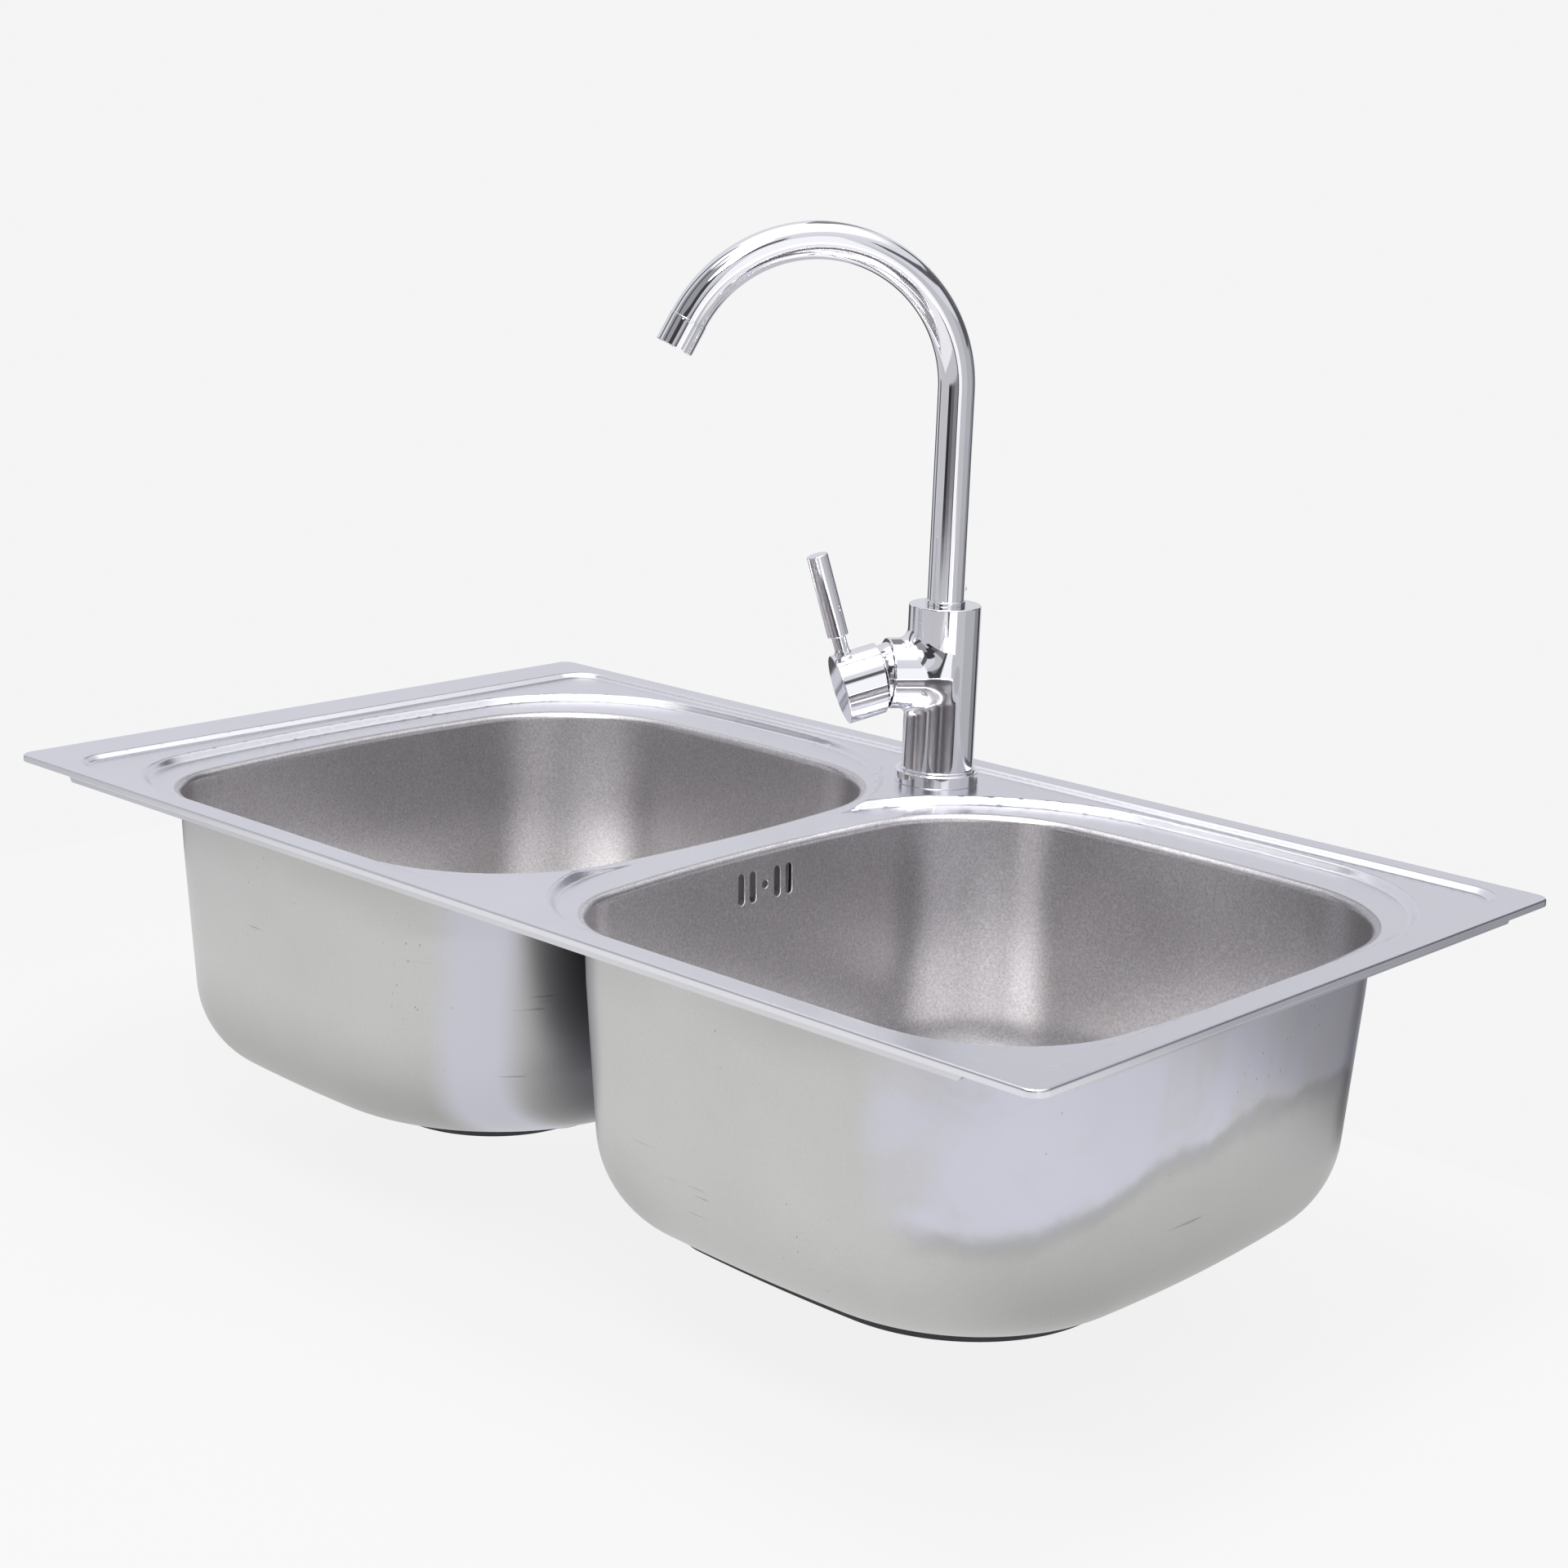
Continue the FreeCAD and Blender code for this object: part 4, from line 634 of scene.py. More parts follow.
# ------------------------------------------------------------------ bowls
def bowl_profile(grow, wall_rows, rb):
    """Rows (off, z, normal off, normal z, share of corner growth) of a face; normal points away from the sheet."""
    d = DRAFT
    s = 1.0 if grow == 0 else -1.0
    rows = []
    for k in range(9):
        a = PI / 2 * k / 8
        rows.append((LIP - (LIP - grow) * math.sin(a), RING - LIP + (LIP - grow) * math.cos(a), -s * math.sin(a), s * math.cos(a), 0.0))
    # blend the lip into the drafted wall
    zw = FLOOR + rb - rb * math.sin(d)
    z0 = RING - LIP
    for z in [v for v in wall_rows if v > zw + 2.0]:
        off = -(z0 - z) * math.tan(d) + grow / math.cos(d)
        rows.append((off, z, -s * math.cos(d), s * math.sin(d), max(0.0, (GROW_TOP - z) / (GROW_TOP - FLOOR))))
    ow = -(z0 - zw) * math.tan(d)
    c = (ow - rb * math.cos(d), zw + rb * math.sin(d))
    for k in range(21):
        a = d + (PI / 2 - d) * k / 20
        w = (GROW_TOP - c[1] + rb * math.sin(a)) / (GROW_TOP - FLOOR)
        rows.append((c[0] + (rb + grow) * math.cos(a), c[1] - (rb + grow) * math.sin(a), -s * math.cos(a), s * math.sin(a), w))
    return rows


Z0W = RING - LIP
WALL = [Z0W - 2.5, Z0W - 34.0, GROW_TOP] + list(np.linspace(GROW_TOP, FLOOR + 60.0, 12))[1:]


def bowl(name, outl, cx, node, holes=None):
    n = outl.n
    acc = Acc()
    dirs = outl.dir
    drain = np.array([cx, DRAIN_Y])

    def surf(rows):
        V, N = [], []
        for off, z, no, nz, w in rows:
            if w > 0:
                rr = tuple(q + w * g for q, g in zip(outl.rr, outl.grow))
                o = Outline(outl.spec[:5] + (rr,), 44, 40)
            else:
                o = outl
            V.append(np.column_stack([o.at(off), np.full(o.n, z)]))
            N.append(np.column_stack([no * o.dir, np.full(o.n, nz)]))
        V, N = np.array(V), np.array(N)
        # where the corners widen with depth, normals come from the surface itself
        tu = np.roll(V, -1, 1) - np.roll(V, 1, 1)
        tv = np.zeros_like(V)
        tv[1:-1] = V[2:] - V[:-2]
        g = np.cross(tu, tv)
        g /= np.maximum(np.linalg.norm(g, axis=2, keepdims=True), 1e-9)
        g *= np.sign((g * N).sum(2, keepdims=True))
        for k, row in enumerate(rows):
            if row[4] > 0 and 0 < k < len(rows) - 1:
                N[k] = g[k]
        return V.reshape(-1, 3), N.reshape(-1, 3)

    for grow, flip, mat in ((0.0, False, 0), (T, True, 1)):
        rows = bowl_profile(grow, WALL, outl.rb)
        R = np.array(rows)
        V, N = surf(rows)
        skip = None
        if holes:
            i0, i1, jr = holes["i0"], holes["i1"], holes["j"]
            skip = lambda j, i: j == jr and i0 <= i < i1
        acc.add(V, N, grid_faces(len(rows), n, flip=not flip, skip=skip), mat)
        # floor: from the last row to the drain hole
        last = V.reshape(len(rows), n, 3)[-1]
        ang = np.arctan2(last[:, 1] - drain[1], last[:, 0] - drain[0])
        circ = drain[None] + 43.5 * np.stack([np.cos(ang), np.sin(ang)], -1)
        ts = [0, 0.12, 0.3, 0.5, 0.7, 0.88, 1.0]
        FV = []
        for tt in ts:
            xy = last[:, :2] * (1 - tt) + circ * tt
            FV.append(np.concatenate([xy, last[:, 2:3]], -1))
        FV = np.array(FV)
        nz = 1.0 if grow == 0 else -1.0
        acc.add(FV.reshape(-1, 3), np.tile([0, 0, nz], (len(ts) * n, 1)), grid_faces(len(ts), n, flip=not flip), mat)
        if grow == 0:
            drop, topv = FV[-1], V.reshape(len(rows), n, 3)[0]
        else:
            E = np.stack([drop, FV[-1]])
            nn = np.concatenate([drain[None] - circ, np.zeros((n, 1))], -1)
            acc.add(E.reshape(-1, 3), np.vstack([nn, nn]), grid_faces(2, n, flip=True), 0)
            E = np.stack([topv, V.reshape(len(rows), n, 3)[0]])
            nn = np.concatenate([dirs, np.zeros((n, 1))], -1)
            acc.add(E.reshape(-1, 3), np.vstack([nn, nn]), grid_faces(2, n), 1)
        if holes:
            j0 = holes["j"]
            ii = np.arange(holes["i0"], holes["i1"] + 1)
            c0, Rb = outl.C[ii[0]], outl.R[ii[0]]
            ph = outl.P[ii]
            za, zb = R[j0, 1], R[j0 + 1, 1]
            oa, ob = R[j0, 0], R[j0 + 1, 0]
            dd = DRAFT
            sgn = 1.0 if grow == 0 else -1.0

            def m3(s, z):
                """(arc angle * bow, height) to a point and normal of this face."""
                p = s / Rb
                off = oa + (ob - oa) * (za - z) / (za - zb)
                dv = np.stack([np.cos(p), np.sin(p)], -1)
                P = c0[None] + (Rb + off)[:, None] * dv
                nn = np.concatenate([-sgn * math.cos(dd) * dv, np.full((len(s), 1), sgn * math.sin(dd))], -1)
                return np.concatenate([P, z[:, None]], -1), nn

            pts, cons = [], []

            def loop(P, close=True):
                b = len(pts)
                pts.extend([tuple(map(float, q)) for q in P])
                m = len(P)
                cons.extend([(b + k, b + (k + 1) % m) for k in range(m)])

            border = [(a * Rb, za) for a in ph] + [(a * Rb, zb) for a in ph[::-1]]
            loop(border)
            shapes = []
            for yy, hw, hh in holes["slots"]:
                # slot centre: arc angle whose y matches
                sc = ph[np.argmin(np.abs(c0[1] + Rb * np.sin(ph) - yy))]
                f = lambda p: c0[1] + Rb * math.sin(p) - yy
                for _ in range(20):
                    sc = sc - f(sc) / (Rb * math.cos(sc))
                shapes.append((sc * Rb, holes["z"], hw, hh))
            grown = 0.35 if grow == 0 else 0.0

            def stadium(sx, zc, hw, hh, g, m=9):
                r, st = hw + g, hh - hw
                out = []
                for k in range(m + 1):
                    a = PI * k / m
                    out.append((sx + r * math.cos(a), zc + st + r * math.sin(a)))
                for k in range(m + 1):
                    a = PI + PI * k / m
                    out.append((sx + r * math.cos(a), zc - st + r * math.sin(a)))
                if st < 1e-6:
                    out = [p for i, p in enumerate(out) if i not in (m, 2 * m + 1)]
                return out

            for sh in shapes:
                loop(stadium(*sh, grown))
            for zz in np.linspace(zb, za, 9)[1:-1]:
                for a in ph[1:-1]:
                    q = (a * Rb, zz)
                    if all(abs(q[0] - s[0]) > s[2] + 1.2 or abs(q[1] - s[1]) > s[3] + 1.2 for s in shapes):
                        pts.append((float(q[0]), float(q[1])))
            res = delaunay_2d_cdt([Vector(p) for p in pts], cons, [], 0, 1e-6)
            vv = np.array([tuple(v) for v in res[0]])
            ff = []
            for f3 in res[2]:
                cc = vv[list(f3)].mean(0)
                inside = any(max(0.0, abs(cc[1] - s[1]) - (s[3] - s[2])) ** 2 + (cc[0] - s[0]) ** 2 < (s[2] + grown - 1e-3) ** 2 for s in shapes)
                if not inside and zb - 1e-6 < cc[1] < za + 1e-6:
                    ff.append(tuple(f3))
            V3, N3 = m3(vv[:, 0], vv[:, 1])
            a, b, c = V3[list(ff[0])]
            if np.cross(b - a, c - a) @ N3[ff[0][0]] < 0:
                ff = [tuple(reversed(f)) for f in ff]
            acc.add(V3, N3, ff, mat)
            # edges of the punched slots: small chamfer, then the sheet's thickness
            if grow == 0:
                holes["keep"] = []
                for sh in shapes:
                    o0, o1 = np.array(stadium(*sh, 0.35)), np.array(stadium(*sh, 0.0))
                    A3, AN = m3(o0[:, 0], o0[:, 1])
                    B3, BN = m3(o1[:, 0], o1[:, 1])
                    B3 = B3 - BN * 0.35
                    cen = A3.mean(0)
                    inn = cen - A3
                    inn = inn / np.linalg.norm(inn, axis=1, keepdims=True)
                    holes["keep"].append((A3, B3, AN, inn))
            else:
                for (A3, B3, AN, inn), sh in zip(holes["keep"], shapes):
                    o1 = np.array(stadium(*sh, 0.0))
                    C3, _ = m3(o1[:, 0], o1[:, 1])
                    m = len(A3)
                    nn = AN * 0.7 + inn * 0.7
                    f = grid_faces(2, m)
                    tri = np.cross(B3[1] - A3[1], B3[0] - A3[0]) if False else None
                    q = f[2]
                    VV = np.vstack([A3, B3])
                    if np.cross(VV[q[1]] - VV[q[0]], VV[q[2]] - VV[q[0]]) @ nn[2] < 0:
                        f = [tuple(reversed(t)) for t in f]
                    acc.add(VV, np.vstack([nn, nn]), f, 0)
                    acc.add(np.vstack([B3, C3]), np.vstack([inn, inn]), f, 0)
    return acc.obj(name, body="sink", replaces=(node,), slot="bowl_steel", mats=(M_IN, M_OUT))


bowl("steel_left_bowl", oBL, -190.0, "left_bowl")
arc6 = np.where(oBR.arc == 6)[0]
ys = oBR.C[arc6, 1] + oBR.R[arc6] * np.sin(oBR.P[arc6])
sel = arc6[(ys < 26) & (ys > -54)]
HOLES = {"i0": int(sel.min()), "i1": int(sel.max()), "j": 9, "z": TOP - 31.0,
         "slots": [(-14.0 + o, 2.75, 10.0) for o in (-21.5, -11.0, 11.0, 21.5)] + [(-14.0, 2.65, 2.65)]}
bowl("steel_right_bowl", oBR, 200.0, "right_bowl", HOLES)


# ------------------------------------------------------------------ deck
def deck():
    pts, cons = [], []

    def loop(P):
        b = len(pts)
        pts.extend([(float(x), float(y)) for x, y in P])
        m = len(P)
        cons.extend([(b + k, b + (k + 1) % m) for k in range(m)])

    def rr_pts(x0, x1, y0, y1, r, step, arcn):
        out = []
        for cx, cy, a0, (ex, ey) in ((x1 - r, y0 + r, -90, (x1, y1 - r)), (x1 - r, y1 - r, 0, (x0 + r, y1)),
                                     (x0 + r, y1 - r, 90, (x0, y0 + r)), (x0 + r, y0 + r, 180, (x1 - r, y0))):
            for k in range(arcn):
                a = math.radians(a0 + 90.0 * k / arcn)
                out.append((cx + r * math.cos(a), cy + r * math.sin(a)))
            sx, sy = cx + r * math.cos(math.radians(a0 + 90)), cy + r * math.sin(math.radians(a0 + 90))
            L = math.hypot(ex - sx, ey - sy)
            m = max(2, int(L / step))
            for k in range(m):
                out.append((sx + (ex - sx) * k / m, sy + (ey - sy) * k / m))
        return np.array(out)

    RE = 1.5
    edge = rr_pts(-HL + RE, HL - RE, -HD + RE, HD - RE, 10 - RE, 6.0, 8)
    loop(edge)
    lipL, lipR = oBL.at(LIP), oBR.at(LIP)
    loop(lipL); loop(lipR)
    TX, TY, TR = 1.0, 191.0, 17.5
    th = np.linspace(0, 2 * PI, 64, endpoint=False)
    holep = np.stack([TX + TR * np.cos(th), TY + TR * np.sin(th)], -1)
    loop(holep)
    free = []
    for k in range(-1, 9):
        o = -k * W1 / 7.0
        r = SR + o
        q = rr_pts(SX0 - o, SX1 + o, SY0 - o, SY1 + o, max(r, 4.0), 4.0, 12) if o <= 0 else rr_pts(SX0 - o, SX1 + o, SY0 - o, SY1 + o, r, 4.0, 12)
        free.append(q)
    for ol in (oRL, oRR):
        for k in range(-1, 10):
            free.append(ol.at(6.5 - k * W2 / 8.0))
    gx, gy = np.meshgrid(np.arange(-HL + 6, HL - 3, 7.0), np.arange(-HD + 6, HD - 3, 7.0))
    gx = gx + (np.arange(gx.shape[0]) % 2 * 3.5)[:, None]
    free.append(np.stack([gx.ravel(), gy.ravel()], -1))
    F = np.vstack(free)
    X, Y = F[:, 0], F[:, 1]
    ok = (sd_round(X, Y, -HL + RE, HL - RE, -HD + RE, HD - RE, 10 - RE) < -0.8) & (oBL.sd(X, Y) > LIP + 0.8) & (oBR.sd(X, Y) > LIP + 0.8) \
        & (np.hypot(X - TX, Y - TY) > TR + 0.8)
    F = F[ok]
    # thin out points that fall on one another
    key = np.round(F / 0.9).astype(int)
    _, idx = np.unique(key, axis=0, return_index=True)
    F = F[np.sort(idx)]
    pts.extend([(float(x), float(y)) for x, y in F])
    res = delaunay_2d_cdt([Vector(p) for p in pts], cons, [], 0, 1e-5)
    vv = np.array([tuple(v) for v in res[0]])
    tri = np.array([tuple(f) for f in res[2] if len(f) == 3])
    c = vv[tri].mean(1)
    keep = (sd_round(c[:, 0], c[:, 1], -HL + RE, HL - RE, -HD + RE, HD - RE, 10 - RE) < 0.02) & (oBL.sd(c[:, 0], c[:, 1]) > LIP - 0.02) \
        & (oBR.sd(c[:, 0], c[:, 1]) > LIP - 0.02) & (np.hypot(c[:, 0] - TX, c[:, 1] - TY) > TR - 0.03)
    tri = tri[keep]
    a, b, cc = vv[tri[:, 0]], vv[tri[:, 1]], vv[tri[:, 2]]
    area = (b[:, 0] - a[:, 0]) * (cc[:, 1] - a[:, 1]) - (b[:, 1] - a[:, 1]) * (cc[:, 0] - a[:, 0])
    tri[area < 0] = tri[area < 0][:, ::-1]
    z = height(vv[:, 0], vv[:, 1])
    N = height_n(vv[:, 0], vv[:, 1])
    acc = Acc()
    acc.add(np.column_stack([vv, z]), N, [tuple(t) for t in tri], 0)
    acc.add(np.column_stack([vv, z - T]), -N, [tuple(t[::-1]) for t in tri], 0)
    # folded edge
    ring = []
    for k in range(9):
        a = PI / 2 * k / 8
        ring.append((-RE + RE * math.sin(a), TOP - RE + RE * math.cos(a), math.sin(a), math.cos(a)))
    ring += [(0.0, 0.35, 1, 0)]
    for k in range(1, 5):
        a = PI / 2 * k / 4
        ring.append((-0.35 + 0.35 * math.cos(a), 0.35 - 0.35 * math.sin(a), math.cos(a), -math.sin(a)))
    ring += [(-0.65, 0.0, 0, -1)]
    for k in range(1, 5):
        a = PI / 2 * k / 4
        ring.append((-0.65 - 0.35 * math.sin(a), 0.35 - 0.35 * math.cos(a), -math.sin(a), -math.cos(a)))
    ring += [(-1.0, TOP - T - 0.5, -1, 0), (-1.5, TOP - T, 0, -1)]
    e0 = edge
    d = np.roll(e0, -1, 0) - np.roll(e0, 1, 0)
    nrm = np.stack([d[:, 1], -d[:, 0]], -1)
    nrm /= np.linalg.norm(nrm, axis=1, keepdims=True)
    # exact outward directions on straights and corners
    qx, qy = np.abs(e0[:, 0]) - (HL - 10), np.abs(e0[:, 1]) - (HD - 10)
    ex, ey = np.where(qx > 1e-6, qx, 0) * np.sign(e0[:, 0]), np.where(qy > 1e-6, qy, 0) * np.sign(e0[:, 1])
    nn = np.stack([ex, ey], -1)
    nn /= np.linalg.norm(nn, axis=1, keepdims=True)
    V, NN = [], []
    for o, zz, no, nz in ring:
        V.append(np.column_stack([e0 + nn * (o + RE), np.full(len(e0), zz)]))
        NN.append(np.column_stack([nn * no, np.full(len(e0), nz)]))
    acc.add(np.vstack(V), np.vstack(NN), grid_faces(len(ring), len(e0), flip=True), 0)
    # tap hole wall
    zt = float(height(np.array([TX]), np.array([TY]))[0])
    nh = np.column_stack([-np.cos(th), -np.sin(th), 0 * th])
    acc.add(np.vstack([np.column_stack([holep, np.full(64, zt)]), np.column_stack([holep, np.full(64, zt - T)])]), np.vstack([nh, nh]), grid_faces(2, 64), 0)
    return acc.obj("steel_deck", body="sink", replaces=("sink_deck",), slot="deck_steel", mats=(M_DECK,))


deck()

# ------------------------------------------------------------------ tap
TAP = np.array([1.0, 191.0, DECK])
BD = math.radians(235.0)
b_dir = np.array([math.cos(BD), math.sin(BD), 0.0])
b_side = np.cross([0, 0, 1], b_dir)


def mat4(x, y, z, o):
    m = np.eye(4)
    m[:3, 0], m[:3, 1], m[:3, 2], m[:3, 3] = x, y, z, o
    return m


def about(axis, deg):
    return np.array(Matrix.Rotation(math.radians(deg), 3, Vector(axis)))


F_TAP = mat4((1, 0, 0), (0, 1, 0), (0, 0, 1), TAP)
BZ = 74.6
PV = TAP + np.array([0, 0, BZ]) + b_dir * 33.0
R_T = about(b_side, 17.0)
if (R_T @ b_dir)[2] > 0:
    R_T = about(b_side, -17.0)
cx_ = R_T @ np.array([0, 0, 1.0])
cz_ = R_T @ b_dir
F_CAP = mat4(cx_, b_side * 1.0 if np.cross(b_side, cz_) @ cx_ > 0 else -b_side, cz_, PV)


def surface_nets(f, lo, hi, step):
    n = np.ceil((np.array(hi) - np.array(lo)) / step).astype(int) + 1
    ax = [lo[k] + step * np.arange(n[k]) for k in range(3)]
    X, Y, Z = np.meshgrid(*ax, indexing="ij")
    V = f(X, Y, Z)
    S = V < 0
    cell = np.zeros((n[0] - 1, n[1] - 1, n[2] - 1), int)
    for i in (0, 1):
        for j in (0, 1):
            for k in (0, 1):
                cell += S[i:n[0] - 1 + i, j:n[1] - 1 + j, k:n[2] - 1 + k]
    act = (cell > 0) & (cell < 8)
    idx = -np.ones(act.shape, int)
    ci, cj, ck = np.nonzero(act)
    idx[ci, cj, ck] = np.arange(len(ci))
    acc_p = np.zeros((len(ci), 3))
    cnt = np.zeros(len(ci))
    corners = [(0, 0, 0), (1, 0, 0), (0, 1, 0), (1, 1, 0), (0, 0, 1), (1, 0, 1), (0, 1, 1), (1, 1, 1)]
    for a in corners:
        for d in range(3):
            if a[d] == 0:
                b = list(a); b[d] = 1
                va, vb = V[ci + a[0], cj + a[1], ck + a[2]], V[ci + b[0], cj + b[1], ck + b[2]]
                m = (va < 0) != (vb < 0)
                t = np.where(m, va / np.where(m, va - vb, 1), 0)
                p = np.stack([ci + a[0], cj + a[1], ck + a[2]], -1).astype(float)
                p[:, d] += t
                acc_p[m] += p[m]
                cnt[m] += 1
    P = np.array(lo) + step * acc_p / cnt[:, None]
    faces = []
    for d in range(3):
        s0 = [slice(None)] * 3; s1 = [slice(None)] * 3
        s0[d] = slice(0, -1); s1[d] = slice(1, None)
        A, B = S[tuple(s0)], S[tuple(s1)]
        for inv, m in ((False, A & ~B), (True, ~A & B)):
            i, j, k = np.nonzero(m)
            g = [i, j, k]
            u, w = [(1, 2), (2, 0), (0, 1)][d]
            ok = (g[u] > 0) & (g[w] > 0) & (g[u] < n[u] - 1) & (g[w] < n[w] - 1)
            g = [q[ok] for q in g]

            def at(du, dw):
                h = [q.copy() for q in g]
                h[u] = h[u] + du; h[w] = h[w] + dw
                return idx[h[0], h[1], h[2]]
            q = np.stack([at(-1, -1), at(0, -1), at(0, 0), at(-1, 0)], -1)
            if inv:
                q = q[:, ::-1]
            faces.append(q)
    Fq = np.vstack(faces)
    Fq = Fq[(Fq >= 0).all(1)]
    return P, Fq


def project(f, P, it=4):
    e = 1e-3
    for _ in range(it):
        v = f(P[:, 0], P[:, 1], P[:, 2])
        g = np.stack([(f(P[:, 0] + e, P[:, 1], P[:, 2]) - f(P[:, 0] - e, P[:, 1], P[:, 2])) / (2 * e),
                      (f(P[:, 0], P[:, 1] + e, P[:, 2]) - f(P[:, 0], P[:, 1] - e, P[:, 2])) / (2 * e),
                      (f(P[:, 0], P[:, 1], P[:, 2] + e) - f(P[:, 0], P[:, 1], P[:, 2] - e)) / (2 * e)], -1)
        gg = np.maximum((g * g).sum(1), 1e-6)
        P = P - g * np.clip(v / gg, -0.5, 0.5)[:, None]
    return P, g / np.maximum(np.linalg.norm(g, axis=1, keepdims=True), 1e-9)


def capped(r, h0, h1, rad, lat, ax):
    """Distance to a solid cylinder with rounded rims."""
    c, hh = (h0 + h1) / 2, (h1 - h0) / 2
    dx, dy = rad - r + lat, np.abs(ax - c) - hh + lat
    return np.minimum(np.maximum(dx, dy), 0) + np.hypot(np.maximum(dx, 0), np.maximum(dy, 0)) - lat


def tap_sdf(X, Y, Z):
    rb = np.hypot(X, Y)
    a = capped(24.3, 3.0, 121.5, rb, 0.9, Z)
    rr_ = np.hypot(Y, Z - BZ)
    b = capped(23.8, 0.0, 38.5, rr_, 0.9, X)
    k = 6.5
    u = np.maximum(k - a, 0), np.maximum(k - b, 0)
    d = np.maximum(k, np.minimum(a, b)) - np.hypot(*u)
    d = np.maximum(d, -(np.maximum(rr_ - 20.05, 30.0 - X)))
    d = np.maximum(d, -(np.maximum(rb - 16.44, Z - 21.0)))
    return d


P, Fq = surface_nets(tap_sdf, (-25.6, -27.2, 1.8), (40.6, 27.3, 123.4), 0.8)
P, Nn = project(tap_sdf, P)
M = mat4(b_dir, b_side, (0, 0, 1), TAP)
acc = Acc()
acc.add(P @ M[:3, :3].T + M[:3, 3], Nn @ M[:3, :3].T, [tuple(f) for f in Fq], 0)
acc.obj("chrome_tap_body", body="sink", replaces=("tap_body",), slot="chrome", mats=(M_CHROME,))

# base ring, slip ring
lathe("chrome_base_ring", [(17.2, 0, 0.2), (28.6, 0, 0.5), (28.6, 8.2, 0.8), (26.0, 8.2, 0.4), (26.0, 10.0, 0.7), (24.4, 10.0, 0.2), (24.4, 3.0, 0), (17.2, 3.0, 0), (17.2, 0, 0.2)],
      n=160, frame_m=F_TAP, body="sink", replaces=("tap_base_ring",), slot="chrome", mats=(M_CHROME,))
lathe("chrome_slip_ring", [(12.32, 121.5, 0), (13.5, 121.5, 0.3), (13.5, 124.5, 0.7), (12.32, 124.5, 0.2), (12.32, 121.5, 0)],
      n=128, frame_m=F_TAP, body="sink", replaces=("spout_slip_ring",), slot="chrome", mats=(M_CHROME,))

# domed threaded ring behind the handle
bx = mat4((0, 0, 1.0), np.cross(b_dir, (0, 0, 1.0)), b_dir, TAP + np.array([0, 0, BZ]))
dome = [(18.0, 30.2, 0), (20.0, 30.2, 0.3), (20.0, 38.6, 0), (20.86, 38.6, 0)]
for k in range(1, 13):
    q = 5.6 + (12.8 - 5.6) * k / 12
    dome.append((math.sqrt(21.6 ** 2 - q * q), 33.0 + q, 0.0))
dome += [(17.4, 38.7, 0), (13.0, 38.6, 0), (13.0, 37.0, 0), (18.0, 37.0, 0), (18.0, 30.2, 0)]
lathe("chrome_dome_ring", dome, n=128, frame_m=bx, body="sink", replaces=("cartridge_nut",), slot="chrome", mats=(M_CHROME,))


# handle cap: outer skin, bevelled rim, bore, closed end
def cap():
    n = 160
    th = np.linspace(0, 2 * PI, n, endpoint=False)
    c, s = np.cos(th), np.sin(th)
    rim, end, ro, ri = 10.9, 39.0, 23.6, 22.2
    k = math.tan(math.radians(7.0))
    acc = Acc()

    def zr(r):
        return rim - r * c * k

    rows, nor = [], []

    def row(r, z, nr, nz):
        rows.append(np.column_stack([r * c, r * s, z + 0 * c])); nor.append(np.column_stack([nr * c, nr * s, nz + 0 * c]))
    row(3.0, end, 0, 1)
    row(8.0, end, 0, 1)
    row(16.0, end, 0, 1)
    for j in range(8):
        a = PI / 2 * j / 7
        row(ro - 0.7 + 0.7 * math.sin(a), end - 0.7 + 0.7 * math.cos(a), math.sin(a), math.cos(a))
    row(ro, (end + rim) / 2, 1, 0)
    for j in range(6):
        a = PI / 2 * j / 5
        row(ro - 0.35 + 0.35 * math.cos(a), zr(ro) + 0.35 - 0.35 * math.sin(a), math.cos(a), -math.sin(a))
    for j in range(6):
        a = PI / 2 * j / 5
        row(ri + 0.35 - 0.35 * math.sin(a), zr(ri) + 0.35 - 0.35 * math.cos(a), -math.sin(a), -math.cos(a))
    row(ri, end - 4.2, -1, 0)
    row(ri, end - 4.0, -0.7, -0.7)
    row(14.0, end - 4.0, 0, -1)
    row(4.1, end - 4.0, -0.3, -0.95)
    row(4.1, end - 2.4, -0.7, -0.7)
    row(2.0, end - 2.4, 0, -1)
    rows.append(np.array([[0, 0, end], [0, 0, end - 2.4]])); nor.append(np.array([[0, 0, 1.0], [0, 0, -1.0]]))
    V, N = np.vstack(rows), np.vstack(nor)
    V = V @ F_CAP[:3, :3].T + F_CAP[:3, 3]
    N = N @ F_CAP[:3, :3].T
    m = len(rows) - 1
    F = grid_faces(m, n)
    for i in range(n):
        a, b = i, (i + 1) % n
        e0 = F[i]
        k0, k1 = e0.index(a), e0.index(b)
        fwd = (k1 - k0) % len(e0) == 1
        F.append((m * n, b, a) if fwd else (m * n, a, b))
        a2, b2 = (m - 1) * n + a, (m - 1) * n + b
        e1 = F[(m - 2) * n + i]
        k0, k1 = e1.index(a2), e1.index(b2)
        fwd = (k1 - k0) % len(e1) == 1
        F.append((m * n + 1, b2, a2) if fwd else (m * n + 1, a2, b2))
    f0 = F[3 * n]
    if np.cross(V[f0[1]] - V[f0[0]], V[f0[2]] - V[f0[0]]) @ N[f0[0]] < 0:
        F = [tuple(reversed(f)) for f in F]
    acc.add(V, N, F)
    return acc.obj("chrome_handle_cap", body="lever", replaces=("handle_cap",), slot="chrome", mats=(M_CHROME,))


